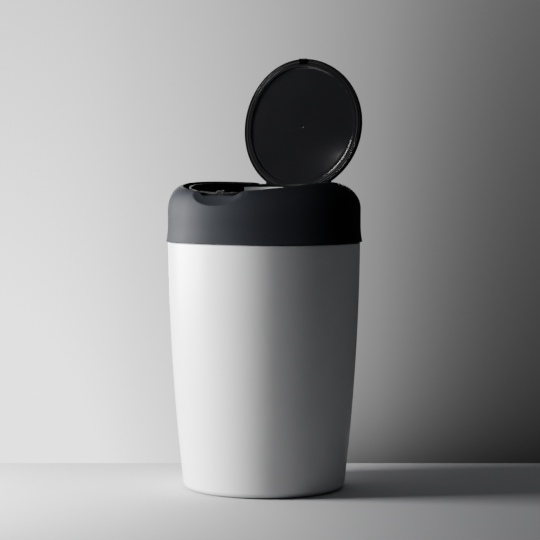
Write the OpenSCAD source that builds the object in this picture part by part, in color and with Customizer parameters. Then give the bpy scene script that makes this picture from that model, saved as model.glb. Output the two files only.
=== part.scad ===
// Twist-type nappy bin: a tapered tub, a lift-off head with a flip lid, a film
// cassette and a twist sleeve with a ring of sprung gripper fingers.
// Millimetres, +Z up, origin on the floor under the middle of the tub, front is -Y.

/* [Tub] */
// Height of the tub's shoulder, where the head begins
tub_h = 321.5; // [300:0.5:340]
// Radius of the tub's wall at the shoulder
tub_top_r = 125.2; // [122:0.1:130]
// Radius of the tub's wall just above the floor
tub_foot_r = 105; // [95:0.5:112]
// Outward bow of the tub's side, half way up
side_bow = 4.3; // [1:0.1:8]
// Radius of the rounding round the tub's foot
foot_round = 8; // [4:0.5:12]
// Wall of the tub
tub_wall = 2.6; // [2:0.1:3.5]
// Floor of the tub
tub_floor_t = 3; // [2.5:0.1:5]
// Width of the ledge between the tub's wall and the neck that the head stands over
ledge_w = 5.2; // [4.6:0.1:6.4]
// Height of the neck above the shoulder
neck_h = 18.5; // [14:0.5:22]

/* [Feet] */
// Radius of one foot pad
pad_r = 9; // [6:0.5:12]
// Thickness of a foot pad
pad_t = 2; // [1.5:0.1:3]
// Height of the tub's floor above the ground, which is how far a pad stands proud
pad_proud = 1; // [0.6:0.1:1.4]
// Distance from the tub's foot in to the middle of a pad
pad_inset = 21; // [18:1:34]

/* [Support collar] */
// Wall of the collar that hangs in the neck
collar_wall = 2.4; // [2:0.1:3]
// Depth of the collar's well below the neck's rim
collar_depth = 42.5; // [38:0.5:44]
// Thickness of the collar's floor
collar_floor_t = 2.8; // [2:0.1:4]
// Thickness of the flange that lies on the neck's rim
flange_t = 2; // [1.5:0.1:3]
// Height of the bearing hub in the middle of the collar
hub_h = 10; // [7:0.5:12]
// Wall of the bearing hub
hub_wall = 3.9; // [3:0.1:4.5]

/* [Cassette] */
// Width of the film cassette's ring, from its hole to its edge
cassette_w = 29.4; // [27:0.1:31]
// Height of the film cassette
cassette_h = 51; // [44:0.5:51]
// Room between the sleeve's grip rim and the hole through the cassette
hole_room = 2.6; // [2.2:0.1:4]
// Wall of the cassette's tray and cap
cassette_wall = 2; // [1.5:0.1:2.4]
// Width of the slot that the film comes out of
film_slot = 3.6; // [3:0.1:5]
// Number of pleats that show in the film pack
pleats = 14; // [8:1:20]

/* [Film] */
// Wall of the film sleeve's solid
film_t = 0.8; // [0.6:0.1:1]
// Radius of the gathered film at the knot
knot_r = 7; // [5:0.5:8]

/* [Twist sleeve] */
// Outer radius of the twist sleeve
sleeve_r = 57; // [55:0.1:57.1]
// Wall of the twist sleeve
sleeve_wall = 3; // [2.4:0.1:3.4]
// Running clearance round the twist sleeve
run_gap = 0.05; // [0.02:0.01:0.1]
// Height of the sleeve's grip rim
grip_h = 9; // [7:0.5:12]
// How far the grip rim stands out from the sleeve
grip_out = 3; // [2:0.1:3.2]
// Number of finger notches in the grip rim
grip_notches = 12; // [8:1:16]
// Length of the sleeve below the collar's hub
sleeve_tail = 18; // [17:0.5:20]

/* [Ratchet] */
// Number of ratchet teeth
teeth = 36; // [12:12:36]
// Width of the ratchet ring, from the sleeve to the tips of its teeth
ratchet_w = 19; // [17:0.5:21]
// Depth of a tooth
tooth_depth = 3; // [2:0.1:3.5]
// Thickness of the ratchet ring
ratchet_t = 4.6; // [4:0.1:5]
// Radius of the pin that the pawl turns on
pawl_pin_r = 3; // [2.5:0.1:3.5]
// Distance from the tips of the teeth to the pawl's pin
pawl_out = 14; // [12:0.5:16]
// Place of the pawl's pin round the bin, in degrees from +X
pawl_angle = 100; // [90:1:110]
// Angle along the ring from the pawl's pin to its nose
nose_angle = 18; // [16:0.5:20]

/* [Gripper] */
// Distance from the sleeve's wall out to a finger's pin
finger_pin_out = 4; // [3.5:0.1:6]
// Radius of a finger's pin
finger_pin_r = 1.5; // [1.2:0.1:1.6]
// Length of a finger's barrel
finger_w = 50; // [44:0.5:52]
// Thickness of a finger's blade
finger_t = 2; // [1.6:0.1:2.4]
// Slope of the fingers towards the middle, in degrees
finger_slope = 12; // [8:1:20]
// Radius of the opening that the finger tips leave
tip_r = 14; // [12:0.5:18]

/* [Head] */
// Height of the crest of the head above the tub's shoulder
crest_rise = 79; // [76:0.5:84]
// Radius of the long arch of the head's top, from front to back
arch_r = 700; // [650:10:900]
// Distance of the arch's crest behind the bin's axis
crest_y = 15; // [10:1:20]
// How far the head's wall stands out past the tub's
head_over = 0.7; // [0:0.1:1.5]
// How far the head's bottom edge flares out
skirt_flare = 2.1; // [1:0.1:3]
// Gap between the head's bottom edge and the tub's shoulder
skirt_gap = 1; // [0.6:0.1:2]
// Wall of the head's cover
cover_wall = 2.5; // [2:0.1:2.6]
// Width of the rounded shoulder, in plan
shoulder_w = 40; // [34:1:44]
// Height of the rounded shoulder
shoulder_h = 33; // [28:1:36]
// Number of flats round the cover's loft
cover_sides = 72; // [48:12:96]
// Number of bands in the rounded shoulder
shoulder_bands = 8; // [6:1:10]

/* [Mouth] */
// Distance of the mouth's middle in front of the bin's axis
mouth_y = 21; // [20:0.5:22]
// Width of the head in front of the mouth, at the height of its wall
front_rim = 10.6; // [9.6:0.1:12]
// Width of the moat between the mouth's edge and the sealing collar
moat_w = 7.4; // [6:0.1:8]
// Width of the sealing collar
seal_w = 2.6; // [2:0.1:3]
// Depth of the sealing collar's top below the head's top
seal_drop = 2.5; // [2:0.1:3]
// Depth of the moat between the sealing collar and the mouth's edge
moat_drop = 6; // [5:0.1:7]
// Radius of the finger scoop, seen from the side
scoop_r = 51; // [50:0.5:52]
// Radius of the finger scoop's curve across the front
scoop_cross_r = 180; // [150:5:220]
// Distance of the finger scoop's centre in front of the mouth's edge
scoop_out = 34.7; // [33.7:0.1:35.7]
// Height of the finger scoop's centre above the head's crest
scoop_rise = 14.5; // [13.5:0.5:15.5]
// Width of the catch bump on the sealing collar
bump_w = 11; // [9:0.5:12]
// Height of the catch bump
bump_h = 2.5; // [1.5:0.1:2.6]

/* [Funnel] */
// How far the throat in the funnel's deck stands in from the cassette's hole
throat_in = 0.6; // [0.2:0.1:2]
// Width of the rim that stiffens the deck round the throat
throat_rim = 6; // [5:0.5:8]
// Height of the deck above the cassette
deck_gap = 3; // [2:0.5:3.5]
// Thickness of the deck and of the bowl's wall
deck_t = 2.4; // [2:0.1:2.8]
// Distance from the inside of the neck in to the middle of a liner screw
screw_in = 5.4; // [4.6:0.1:6.4]
// Radius of a liner screw's thread
screw_r = 1.8; // [1.5:0.1:2]

/* [Lid] */
// How far the lid's edge stands in from the mouth's edge
lid_margin = 4.3; // [3.6:0.1:5]
// Thickness of the lid at its rim
lid_t = 6.7; // [6.2:0.1:7]
// Wall of the lid's shell
lid_wall = 2.2; // [1.8:0.1:2.4]
// Width of the flat band round the lid's underside
band_w = 10; // [9:0.5:12]
// Depth of the dish in the lid's underside
dish_depth = 2.4; // [2:0.1:2.6]
// Distance of the lid's hinge behind the lid's edge
hinge_out = 1.5; // [1:0.1:2]
// Depth of the lid's hinge below the head's crest
hinge_drop = 13.8; // [13.3:0.1:14.3]
// Angle through which the open lid has turned, in degrees
lid_open = 100.2; // [98:0.1:101]
// Radius of a hinge knuckle
knuckle_r = 10.5; // [9.5:0.1:10.6]
// Length of a hinge knuckle
knuckle_w = 18; // [14:0.5:18]
// Distance from the middle to the outer end of a knuckle
knuckle_end = 52; // [50:0.5:52]
// Radius of a lid hinge pin
hinge_pin_r = 3; // [2.5:0.1:3.2]

/* [Fits] */
// Gap between pieces that move past each other
gap = 0.3; // [0.25:0.01:0.4]
// Radial clearance of a hinge pin in its bore
pin_gap = 0.05; // [0.02:0.01:0.1]

/* [Hidden] */
$fn = 96;
eps = 0.01;

// Radii of the tub's neck and of the head that goes over it
neck_r = tub_top_r - ledge_w;
neck_in_r = neck_r - tub_wall;
head_r = tub_top_r + head_over;
skirt_r = head_r + skirt_flare;
pad_circle_r = tub_foot_r - pad_inset;
// Length that passes right through any piece
big = 4 * skirt_r;

// Heights, from the floor up
neck_top = tub_h + neck_h;
crest_z = tub_h + crest_rise;
hinge_z = crest_z - hinge_drop;
scoop_z = crest_z + scoop_rise;
collar_floor_top = neck_top + flange_t - collar_depth + 0.8;
collar_floor_z = collar_floor_top - collar_floor_t;
flange_top = neck_top + flange_t;
hub_top = collar_floor_top + 3.7;
hub_bottom = hub_top - hub_h;
cassette_z = collar_floor_top + gap;
cassette_top = cassette_z + cassette_h;
sleeve_bottom = hub_bottom - sleeve_tail;
sleeve_top = cassette_top - 6;
ratchet_top = hub_bottom - gap;
ratchet_z = ratchet_top - ratchet_t;
clip_t = 2.2;
clip_z = ratchet_z - clip_t;
deck_z = cassette_top + deck_gap;
deck_top = deck_z + deck_t;

// Cuts in the head start and end at these heights, below and above all of its top
cut_low = deck_top + 4;
cut_high = crest_z + 30;

// Radii that follow from the pieces they go with
collar_r = neck_in_r - 0.2;
hub_bore_r = sleeve_r + run_gap;
hub_r = hub_bore_r + hub_wall;
sleeve_in_r = sleeve_r - sleeve_wall;
grip_r = sleeve_r + grip_out;
tooth_tip_r = sleeve_r + ratchet_w;
pawl_circle_r = tooth_tip_r + pawl_out;
finger_pin_circle_r = sleeve_r + finger_pin_out;
cassette_hole_r = grip_r + hole_room;
cassette_r = cassette_hole_r + cassette_w;
throat_r = cassette_hole_r - throat_in;
film_in_r = cassette_hole_r + cassette_wall;
cap_in_r = film_in_r + film_slot;
screw_circle_r = neck_in_r - screw_in;
mouth_r = head_r - mouth_y - front_rim;
moat_in_r = mouth_r - moat_w;
seal_out_r = moat_in_r - gap;
seal_in_r = seal_out_r - seal_w;
scoop_y = mouth_y + mouth_r + scoop_out;
lid_r = mouth_r - lid_margin;
hinge_y = lid_r - mouth_y + hinge_out;
tooth_step = 360 / teeth;
cover_z = tub_h + skirt_gap;

// Height of the head's arched top over a point that far forward or back
function arch_z(y) = crest_z - pow(y - crest_y, 2) / (2 * arch_r);

// ---------------------------------------------------------------- shared shapes

module ring(outer, inner, z0, z1) {
    translate([0, 0, z0])
        difference() {
            cylinder(r = outer, h = z1 - z0);
            translate([0, 0, -1])
                cylinder(r = inner, h = z1 - z0 + 2);
        }
}

// Everything below the arch, raised or lowered by rise
module under_arch(rise) {
    translate([0, crest_y, crest_z - arch_r])
        rotate([0, 90, 0])
            translate([0, 0, -big / 2])
                cylinder(r = arch_r + rise, h = big, $fn = 720);
}

// The part of its children between two copies of the arch
module arch_slab(low, high) {
    difference() {
        intersection() {
            children();
            under_arch(high);
        }
        under_arch(low);
    }
}

// Cylinder that stands at the mouth's middle
module upright(r, z0 = cut_low, z1 = cut_high) {
    translate([0, -mouth_y, z0])
        cylinder(r = r, h = z1 - z0);
}

module hinge_cylinder(r, x0, x1) {
    translate([x0, hinge_y, hinge_z])
        rotate([0, 90, 0])
            cylinder(r = r, h = x1 - x0);
}

// ---------------------------------------------------------------- tub

// Radius of the tub's outer wall at height z
function tub_r(z) =
    let (u = (z - pad_proud) / (tub_h - pad_proud))
    tub_foot_r + (tub_top_r - tub_foot_r) * u + 4 * side_bow * u * (1 - u);

tub_rings = 12;
shoulder_t = 5;
function tub_side(inset) = [
    for (i = [0:tub_rings])
        let (z = pad_proud + foot_round + (tub_h - pad_proud - foot_round) * i / tub_rings)
        [tub_r(z) - inset, z]
];
function tub_foot(inset) =
    let (c_r = tub_r(pad_proud + foot_round) - foot_round)
    [for (a = [0:15:75]) [c_r + (foot_round - inset) * sin(a),
        pad_proud + foot_round - (foot_round - inset) * cos(a)]];

module pad_places() {
    for (a = [45:90:315])
        rotate([0, 0, a])
            translate([pad_circle_r, 0, 0])
                children();
}

// The hollow follows the wall, and turns in under the shoulder to the neck
function tub_hollow_foot() =
    let (c_r = tub_r(pad_proud + foot_round) - foot_round, r_in = foot_round - tub_wall)
    [for (a = [0:15:75]) [c_r + r_in * sin(a), pad_proud + tub_floor_t + r_in * (1 - cos(a))]];
function tub_hollow_side() = [
    for (i = [0:tub_rings])
        let (z0 = pad_proud + foot_round, z = z0 + (tub_h - shoulder_t - z0) * i / tub_rings)
        [tub_r(z) - tub_wall, z]
];

module tub() {
    color("white")
        difference() {
            union() {
                rotate_extrude($fn = 128)
                    polygon(concat([[0, pad_proud]], tub_foot(0), tub_side(0), [[0, tub_h]]));
                ring(neck_r, neck_in_r - 1, tub_h - 1, neck_top);
            }
            rotate_extrude($fn = 128)
                polygon(concat([[0, pad_proud + tub_floor_t]], tub_hollow_foot(), tub_hollow_side(),
                    [[neck_in_r, tub_h - shoulder_t + 3], [neck_in_r, neck_top + 1], [0, neck_top + 1]]));
            pad_places()
                translate([0, 0, -1])
                    cylinder(r = pad_r + 0.1, h = pad_t + 1);
        }
}

module foot_pads() {
    color("dimgray")
        pad_places()
            cylinder(r = pad_r, h = pad_t);
}

// ---------------------------------------------------------------- support collar

module pawl_place() {
    rotate([0, 0, pawl_angle])
        translate([pawl_circle_r, 0, 0])
            children();
}

pawl_t = ratchet_t - 1;
pawl_z = ratchet_z + 0.5;
washer_t = 1.2;
rib_h = 12;
rib_w = 8;
rib_angles = [30, 150, 270];

module support_collar() {
    color("gainsboro")
        union() {
            ring(neck_r, collar_r - collar_wall, neck_top, flange_top);
            ring(collar_r, collar_r - collar_wall, collar_floor_z, flange_top);
            ring(collar_r - 1, hub_bore_r, collar_floor_z, collar_floor_top);
            ring(hub_r, hub_bore_r, hub_bottom, hub_top);
            for (a = rib_angles)
                rotate([0, 0, a])
                    translate([cassette_r + gap, -rib_w / 2, collar_floor_top - 1])
                        cube([4, rib_w, rib_h + 1]);
            // Webs that tie the floor to the hanging wall
            for (a = [0:60:300])
                rotate([0, 0, a])
                    translate([collar_r - collar_wall - 8, -1, collar_floor_top - 1])
                        cube([8.5, 2, 9]);
            // Pin that the pawl turns on
            pawl_place()
                translate([0, 0, pawl_z - washer_t - 1])
                    cylinder(r = pawl_pin_r, h = collar_floor_z - pawl_z + washer_t + 1.5);
            pawl_place()
                translate([0, 0, pawl_z + pawl_t + gap])
                    cylinder(r = pawl_pin_r + 2, h = collar_floor_z - pawl_z - pawl_t);
        }
}

module pawl_washer() {
    color("silver")
        pawl_place()
            ring(pawl_pin_r + 2.2, pawl_pin_r, pawl_z - washer_t - 0.1, pawl_z - 0.1);
}

// Point at radius r from the bin's axis, a degrees past the pawl's pin
function past_pawl(r, a) = r * [cos(a), sin(a)];

module click_pawl() {
    root_r = tooth_tip_r - tooth_depth;
    clear_r = tooth_tip_r + 1;
    hub = pawl_pin_r + 2.6;
    color("darkorange")
        rotate([0, 0, pawl_angle])
            translate([0, 0, pawl_z])
                difference() {
                    union() {
                        translate([pawl_circle_r, 0, 0])
                            cylinder(r = hub, h = pawl_t);
                        // Arm along the ring, with the nose that sits between two teeth
                        linear_extrude(pawl_t)
                            polygon([
                                past_pawl(pawl_circle_r - hub + 1, -1),
                                past_pawl(clear_r + 2, nose_angle * 0.3),
                                past_pawl(clear_r, nose_angle * 0.6),
                                past_pawl(clear_r, nose_angle - 1.8),
                                past_pawl(root_r + 0.7, nose_angle),
                                past_pawl(clear_r, nose_angle + 1.8),
                                past_pawl(clear_r + 3, nose_angle + 2.2),
                                past_pawl(clear_r + 4, nose_angle * 0.8),
                                past_pawl(pawl_circle_r - 4, nose_angle * 0.4),
                                past_pawl(pawl_circle_r + 2, 2.5)]);
                    }
                    translate([pawl_circle_r, 0, -1])
                        cylinder(r = pawl_pin_r + pin_gap, h = pawl_t + 2);
                }
}

// ---------------------------------------------------------------- twist sleeve

module twist_sleeve() {
    shoulder_r = sleeve_r + hub_wall;
    color("yellowgreen")
        difference() {
            union() {
                ring(sleeve_r, sleeve_in_r, sleeve_bottom, sleeve_top);
                ring(shoulder_r, sleeve_in_r, hub_top + gap, hub_top + gap + 3);
                ring(grip_r, sleeve_in_r, sleeve_top - grip_h, sleeve_top);
            }
            for (i = [0:grip_notches - 1])
                rotate([0, 0, i * 360 / grip_notches])
                    translate([grip_r + 2.2, 0, sleeve_top - grip_h - 1])
                        cylinder(r = 4.4, h = grip_h + 2, $fn = 32);
            // Groove for the retaining clip
            ring(sleeve_r + 1, sleeve_r - 1.2, clip_z - 0.1, clip_z + clip_t + 0.1);
        }
}

module ratchet_ring() {
    root_r = tooth_tip_r - tooth_depth;
    color("olivedrab")
        difference() {
            translate([0, 0, ratchet_z])
                linear_extrude(ratchet_t)
                    polygon([for (i = [0:teeth - 1]) each [
                        for (p = [[0, root_r], [0.45, root_r], [0.62, tooth_tip_r], [0.78, tooth_tip_r]])
                            let (a = (i + p[0] - 0.22) * tooth_step + pawl_angle + nose_angle)
                            p[1] * [cos(a), sin(a)]]]);
            translate([0, 0, ratchet_z - 1])
                cylinder(r = sleeve_r, h = ratchet_t + 2);
        }
}

module retaining_clip() {
    color("silver")
        difference() {
            ring(sleeve_r + 3, sleeve_r - 1.2, clip_z, clip_z + clip_t);
            translate([0, -4, clip_z - 1])
                cube([sleeve_r + 4, 8, clip_t + 2]);
        }
}

// ---------------------------------------------------------------- gripper

finger_axis_z = sleeve_bottom - 4.5;
barrel_r = finger_pin_r + 1.7;
ear_t = 3;

module finger_place(i) {
    rotate([0, 0, i * 60])
        translate([finger_pin_circle_r, 0, finger_axis_z])
            children();
}

module gripper_ring() {
    color("darkseagreen")
        difference() {
            union() {
                ring(finger_pin_circle_r + 8, sleeve_r, sleeve_bottom, clip_z - 0.2);
                for (i = [0:5], side = [-1, 1])
                    finger_place(i)
                        translate([-3.4, side * (finger_w / 2 + gap + ear_t / 2) - ear_t / 2, -3.6])
                            cube([8.4, ear_t, 3.6 + sleeve_bottom - finger_axis_z + 1]);
            }
            for (i = [0:5])
                finger_place(i)
                    rotate([90, 0, 0])
                        translate([0, 0, -finger_w])
                            cylinder(r = finger_pin_r, h = 2 * finger_w, $fn = 24);
        }
}

module finger_pins() {
    half = finger_w / 2 + gap + ear_t;
    color("silver")
        for (i = [0:5])
            finger_place(i)
                rotate([90, 0, 0])
                    translate([0, 0, -half])
                        cylinder(r = finger_pin_r, h = 2 * half, $fn = 24);
}

module gripper_finger(i) {
    wide = finger_w / 2 - 0.3;
    knee = 17;
    reach = finger_pin_circle_r - tip_r;
    tip_w = tip_r * tan(30) - 0.7;
    knee_w = (finger_pin_circle_r - knee) * tan(30) - 0.7;
    color("mediumseagreen")
        finger_place(i)
            difference() {
                union() {
                    rotate([90, 0, 0])
                        translate([0, 0, -finger_w / 2])
                            cylinder(r = barrel_r, h = finger_w, $fn = 32);
                    rotate([0, -finger_slope, 0])
                        translate([0, 0, -barrel_r + 0.6])
                            linear_extrude(finger_t)
                                polygon([[0, -wide], [-knee, -min(wide, knee_w)], [-reach, -tip_w],
                                    [-reach, tip_w], [-knee, min(wide, knee_w)], [0, wide]]);
                    // Stiffening rib down the middle
                    rotate([0, -finger_slope, 0])
                        translate([-reach + 6, -0.8, -barrel_r - 1.4])
                            cube([reach - 7.5, 1.6, 2.4]);
                }
                rotate([90, 0, 0])
                    translate([0, 0, -finger_w])
                        cylinder(r = finger_pin_r + pin_gap, h = 2 * finger_w, $fn = 24);
            }
}

// ---------------------------------------------------------------- cassette and film

cap_skirt = 4;

module cassette_tray() {
    color("lightsteelblue")
        difference() {
            union() {
                ring(cassette_r, cassette_hole_r, cassette_z, cassette_z + cassette_wall);
                ring(cassette_r, cassette_r - cassette_wall, cassette_z, cassette_top - cassette_wall);
                ring(film_in_r, cassette_hole_r, cassette_z, cassette_top - 5);
            }
            // Thumb notches in the outer wall
            for (a = [0, 180])
                rotate([0, 0, a])
                    translate([cassette_r, 0, cassette_top - cassette_wall])
                        rotate([0, 90, 0])
                            cylinder(r = 12, h = 10, center = true, $fn = 48);
        }
}

module cassette_cap() {
    color("steelblue")
        union() {
            ring(cassette_r, cap_in_r, cassette_top - cassette_wall, cassette_top);
            ring(cassette_r - cassette_wall, cassette_r - 2 * cassette_wall,
                cassette_top - cassette_wall - cap_skirt, cassette_top - cassette_wall + eps);
        }
}

pack_z = cassette_z + cassette_wall;
pack_top = cassette_top - 8;
module film_pack() {
    in_r = film_in_r + 0.6;
    out_r = cassette_r - 2 * cassette_wall - 0.6;
    pitch = (pack_top - pack_z) / pleats;
    color("aliceblue")
        rotate_extrude()
            polygon(concat(
                [for (i = [0:pleats - 1]) each [[out_r, pack_z + i * pitch],
                    [out_r - 1.4, pack_z + (i + 0.5) * pitch]]],
                [[out_r, pack_top], [in_r, pack_top], [in_r, pack_z]]));
}

// The film comes up out of the cassette, over the cap's lip, down inside the sleeve,
// and draws in through the fingers to the knot
film_over = 2.2;
throat_film = sleeve_bottom + 36;
gather_film = sleeve_bottom + 8;
knot_top = finger_axis_z - 16;
tail_end = knot_top - 14;
module film_sleeve() {
    up_r = film_in_r + 1.2;
    over_z = cassette_top - film_over;
    in_r = sleeve_in_r - 1.6;
    neck_film_r = in_r - 1.5;
    half_r = 0.55 * sleeve_in_r;
    outline = [[up_r + film_t, pack_top], [up_r + film_t, over_z - 1.2], [up_r - 1, over_z],
        [in_r + 1, over_z], [in_r, over_z - 2], [neck_film_r, throat_film],
        [half_r, gather_film], [knot_r + film_t, knot_top], [knot_r + film_t, tail_end],
        [0, tail_end], [0, knot_top - 2], [knot_r, knot_top + 1],
        [half_r - film_t, gather_film + 1], [neck_film_r - film_t, throat_film + 0.4],
        [in_r - film_t, over_z - 1.6], [in_r + 0.7, over_z + film_t],
        [up_r - 0.8, over_z + film_t], [up_r + film_t + 0.6, over_z - 0.6], [up_r + 2 * film_t, pack_top]];
    color("ghostwhite")
        rotate_extrude($fn = 64)
            polygon(outline);
}

// ---------------------------------------------------------------- head cover

// Distance along a ray from the mouth's middle, at angle a, to a circle of radius r round the axis
function ray_to(a, r) =
    let (along = mouth_y * sin(a))
    along + sqrt(along * along + r * r - mouth_y * mouth_y);

// Point on that ray, s from the mouth's middle
function ray_at(a, s) = [s * cos(a), s * sin(a) - mouth_y];

// Rings of the loft, from inside the mouth, over the shoulder and down the flared wall
function loft_ring(k, a, inset) =
    let (
        reach = ray_to(a, head_r - inset),
        full = min(ray_to(a, head_r) - mouth_r, shoulder_w),
        w = full - inset,
        t = 90 * (k - 1) / shoulder_bands,
        s = k == 0 ? mouth_r * 0.6 : reach - w + w * sin(t),
        p = ray_at(a, s),
        fall = k == 0 ? 0 : (shoulder_h - inset) * (1 - cos(t)))
    [p[0], p[1], arch_z(p[1]) - inset - fall];

// Lower rings: share of the way down the flare, from the wall's radius to the skirt's
flare = [0, 0.25, 0.6, 1];
flare_top = cover_z + 22;
function flare_ring(k, a, inset, low) =
    let (
        u = flare[k],
        p = ray_at(a, ray_to(a, head_r + (skirt_r - head_r) * u * u - inset)))
    [p[0], p[1], flare_top + (low - flare_top) * u];

module loft(inset, low) {
    rings = shoulder_bands + 2 + len(flare);
    upper = shoulder_bands + 2;
    points = [for (k = [0:rings - 1], i = [0:cover_sides - 1])
        let (a = (i + 0.5) * 360 / cover_sides)
        k < upper ? loft_ring(k, a, inset) : flare_ring(k - upper, a, inset, low)];
    top = len(points);
    faces = concat(
        [for (k = [0:rings - 2], i = [0:cover_sides - 1]) each
            let (j = (i + 1) % cover_sides, p = k * cover_sides, q = p + cover_sides)
            [[p + i, p + j, q + j], [p + i, q + j, q + i]]],
        [for (i = [0:cover_sides - 1]) [top, (i + 1) % cover_sides, i]],
        [for (i = [0:cover_sides - 1])
            [top + 1, (rings - 1) * cover_sides + i, (rings - 1) * cover_sides + (i + 1) % cover_sides]]);
    polyhedron(concat(points,
        [[0, -mouth_y, arch_z(-mouth_y) - inset], [0, -mouth_y, low]]), faces, convexity = 6);
}

// Spindle that scoops the front of the head for the fingers, grown by extra
module scoop(extra) {
    r = scoop_r + extra;
    c = scoop_cross_r + extra;
    translate([0, -scoop_y, scoop_z])
        rotate([0, 90, 0])
            rotate_extrude($fn = 96)
                intersection() {
                    translate([r - c, 0])
                        circle(r = c, $fn = 192);
                    translate([0, -c])
                        square([r + 1, 2 * c]);
                }
}

well_half = knuckle_end + gap;
well_back = hinge_y + 21;
well_front = hinge_y - 26.5;
well_rim = hinge_z + 1.3;
well_floor = hinge_z - knuckle_r - 3.6;
well_t = 2;
ear_round = 6.5;
ear_w = 2.7;
pin_out = well_half + 4;
pin_in = knuckle_end - knuckle_w - gap - ear_w;

// Hole in the cover over the hinge well, from its front edge back
module well_hole() {
    translate([-well_half, well_front - 4, hinge_z - ear_round])
        cube([2 * well_half, well_back + 4 - well_front, big]);
}

module screw_places() {
    for (a = [50, 130, 230, 310])
        rotate([0, 0, a])
            translate([screw_circle_r, 0, 0])
                children();
}

boss_z = deck_top;
boss_r = 4.2;
screw_len = 14;
// Bosses run on past the head's top, which trims them
boss_h = crest_z - boss_z;
rib_t = 1.6;

// Boss that thickens towards the head's top, with a rib to the head's wall
module screw_boss() {
    hull() {
        translate([0, 0, boss_z])
            cylinder(r = boss_r, h = 1, $fn = 32);
        translate([0, 0, boss_z + boss_h])
            cylinder(r = boss_r + 1.2, h = 1, $fn = 32);
    }
    hull() {
        translate([0, -rib_t / 2, boss_z + 6])
            cube([boss_r + 3, rib_t, boss_h - 6]);
        translate([head_r - screw_circle_r, -rib_t / 2, boss_z])
            cube([1, rib_t, boss_h]);
    }
}

// Step of the mouth's edge, and the wall that comes down from it
rim_t = 0.8;
rim_wall = 1.4;

module head_cover() {
    // Flats that never line up with the loft's own
    $fn = 90;
    color([0.16, 0.17, 0.19])
        difference() {
            loft(0, cover_z);
            difference() {
                loft(cover_wall, cover_z - 1);
                arch_slab(-moat_drop - cover_wall, 0)
                    upright(mouth_r + rim_wall);
                intersection() {
                    scoop(cover_wall);
                    translate([-mouth_r, -scoop_y, crest_z - scoop_r])
                        cube([2 * mouth_r, scoop_y - mouth_y, big]);
                }
                translate([-well_half - cover_wall, well_front, well_rim])
                    cube([2 * (well_half + cover_wall), well_back + cover_wall - well_front, big]);
                screw_places()
                    screw_boss();
            }
            upright(moat_in_r, cover_z);
            difference() {
                upright(mouth_r - rim_t);
                under_arch(-moat_drop);
            }
            scoop(0);
            well_hole();
            hinge_cylinder(ear_round + gap, -pin_out - 1, pin_out + 1);
            screw_places()
                translate([0, 0, boss_z - 1])
                    cylinder(r = screw_r + pin_gap, h = screw_len + 2, $fn = 24);
        }
}

// Solid whose outside is the edge of the bowl under the sealing collar
module bowl(extra, z0, z1 = cut_high) {
    translate([0, -mouth_y, z0])
        cylinder(r = seal_in_r + extra, h = z1 - z0);
}

// Tray behind the mouth that the open lid's back edge sinks into, with the ears for its pins
module hinge_well() {
    difference() {
        translate([-well_half - well_t, well_front, well_floor - well_t])
            cube([2 * (well_half + well_t), well_back + well_t - well_front, well_rim - well_floor + well_t]);
        difference() {
            translate([-well_half, well_front - 1, well_floor])
                cube([2 * well_half, well_back - well_front + 1, big]);
            bowl(seal_w, deck_z);
        }
    }
    for (side = [-1, 1])
        mirror([side < 0 ? 1 : 0, 0, 0]) {
            hinge_cylinder(ear_round, well_half, pin_out);
            translate([well_half, hinge_y - ear_round, well_floor - well_t])
                cube([pin_out - well_half, 2 * ear_round, hinge_z - well_floor + well_t]);
            hinge_cylinder(ear_round, pin_in, pin_in + ear_w);
            translate([pin_in, hinge_y - ear_round, well_floor - 1])
                cube([ear_w, 2 * ear_round, hinge_z - well_floor + 1]);
        }
}

// Bores of the hinge pins, through both ears
module hinge_hollow() {
    hinge_cylinder(hinge_pin_r, -pin_out - 1, -pin_in + 1);
    hinge_cylinder(hinge_pin_r, pin_in - 1, pin_out + 1);
}

leg_w = 12;
ear_r = 6;
module head_liner() {
    color([0.1, 0.1, 0.11])
        difference() {
            union() {
                // Sealing collar and the bowl's wall below it
                intersection() {
                    bowl(seal_w, deck_z);
                    under_arch(-seal_drop);
                }
                // Catch bump
                intersection() {
                    difference() {
                        bowl(seal_w, cut_low);
                        bowl(0, cut_low - 1, cut_high + 1);
                    }
                    translate([-bump_w / 2, -mouth_y - seal_out_r - 1, nib_z])
                        cube([bump_w, 10, big]);
                    under_arch(bump_h - seal_drop);
                }
                ring(throat_r + throat_rim, throat_r - 1, deck_z, deck_top);
                // Ears for the screws, and the legs that stand on the collar's flange
                screw_places()
                    translate([0, 0, deck_z])
                        cylinder(r = ear_r, h = deck_t, $fn = 48);
                screw_places()
                    translate([throat_r + 2 - screw_circle_r, -leg_w / 2, deck_z])
                        cube([screw_circle_r - throat_r - 2, leg_w, deck_t]);
                screw_places()
                    translate([neck_in_r - 1 - screw_circle_r, -leg_w / 2, flange_top + gap])
                        cube([3.4, leg_w, deck_top - flange_top - gap]);
                screw_places()
                    translate([0, -leg_w / 2, deck_z])
                        cube([neck_in_r - screw_circle_r, leg_w, deck_t]);
                hinge_well();
            }
            // Hollow for the bowl, and the throat
            bowl(0, deck_top, cut_high + 1);
            ring(throat_r, 0, deck_z - 1, deck_top + 1);
            screw_places()
                translate([0, 0, deck_z - 1])
                    cylinder(r = screw_r + 0.2, h = 10, $fn = 24);
            hinge_hollow();
            // Hole under the catch bump that the lid's catch snaps into
            translate([0, -mouth_y - seal_in_r + 1, nib_z])
                rotate([90, 0, 0])
                    cylinder(r = nib_r + gap, h = 6, $fn = 24);
        }
}

module liner_screws() {
    color("silver")
        screw_places()
            union() {
                translate([0, 0, deck_z - 2.2])
                    cylinder(r = 3.4, h = 2.2, $fn = 32);
                translate([0, 0, deck_z - eps])
                    cylinder(r = screw_r, h = screw_len, $fn = 24);
            }
}

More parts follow.
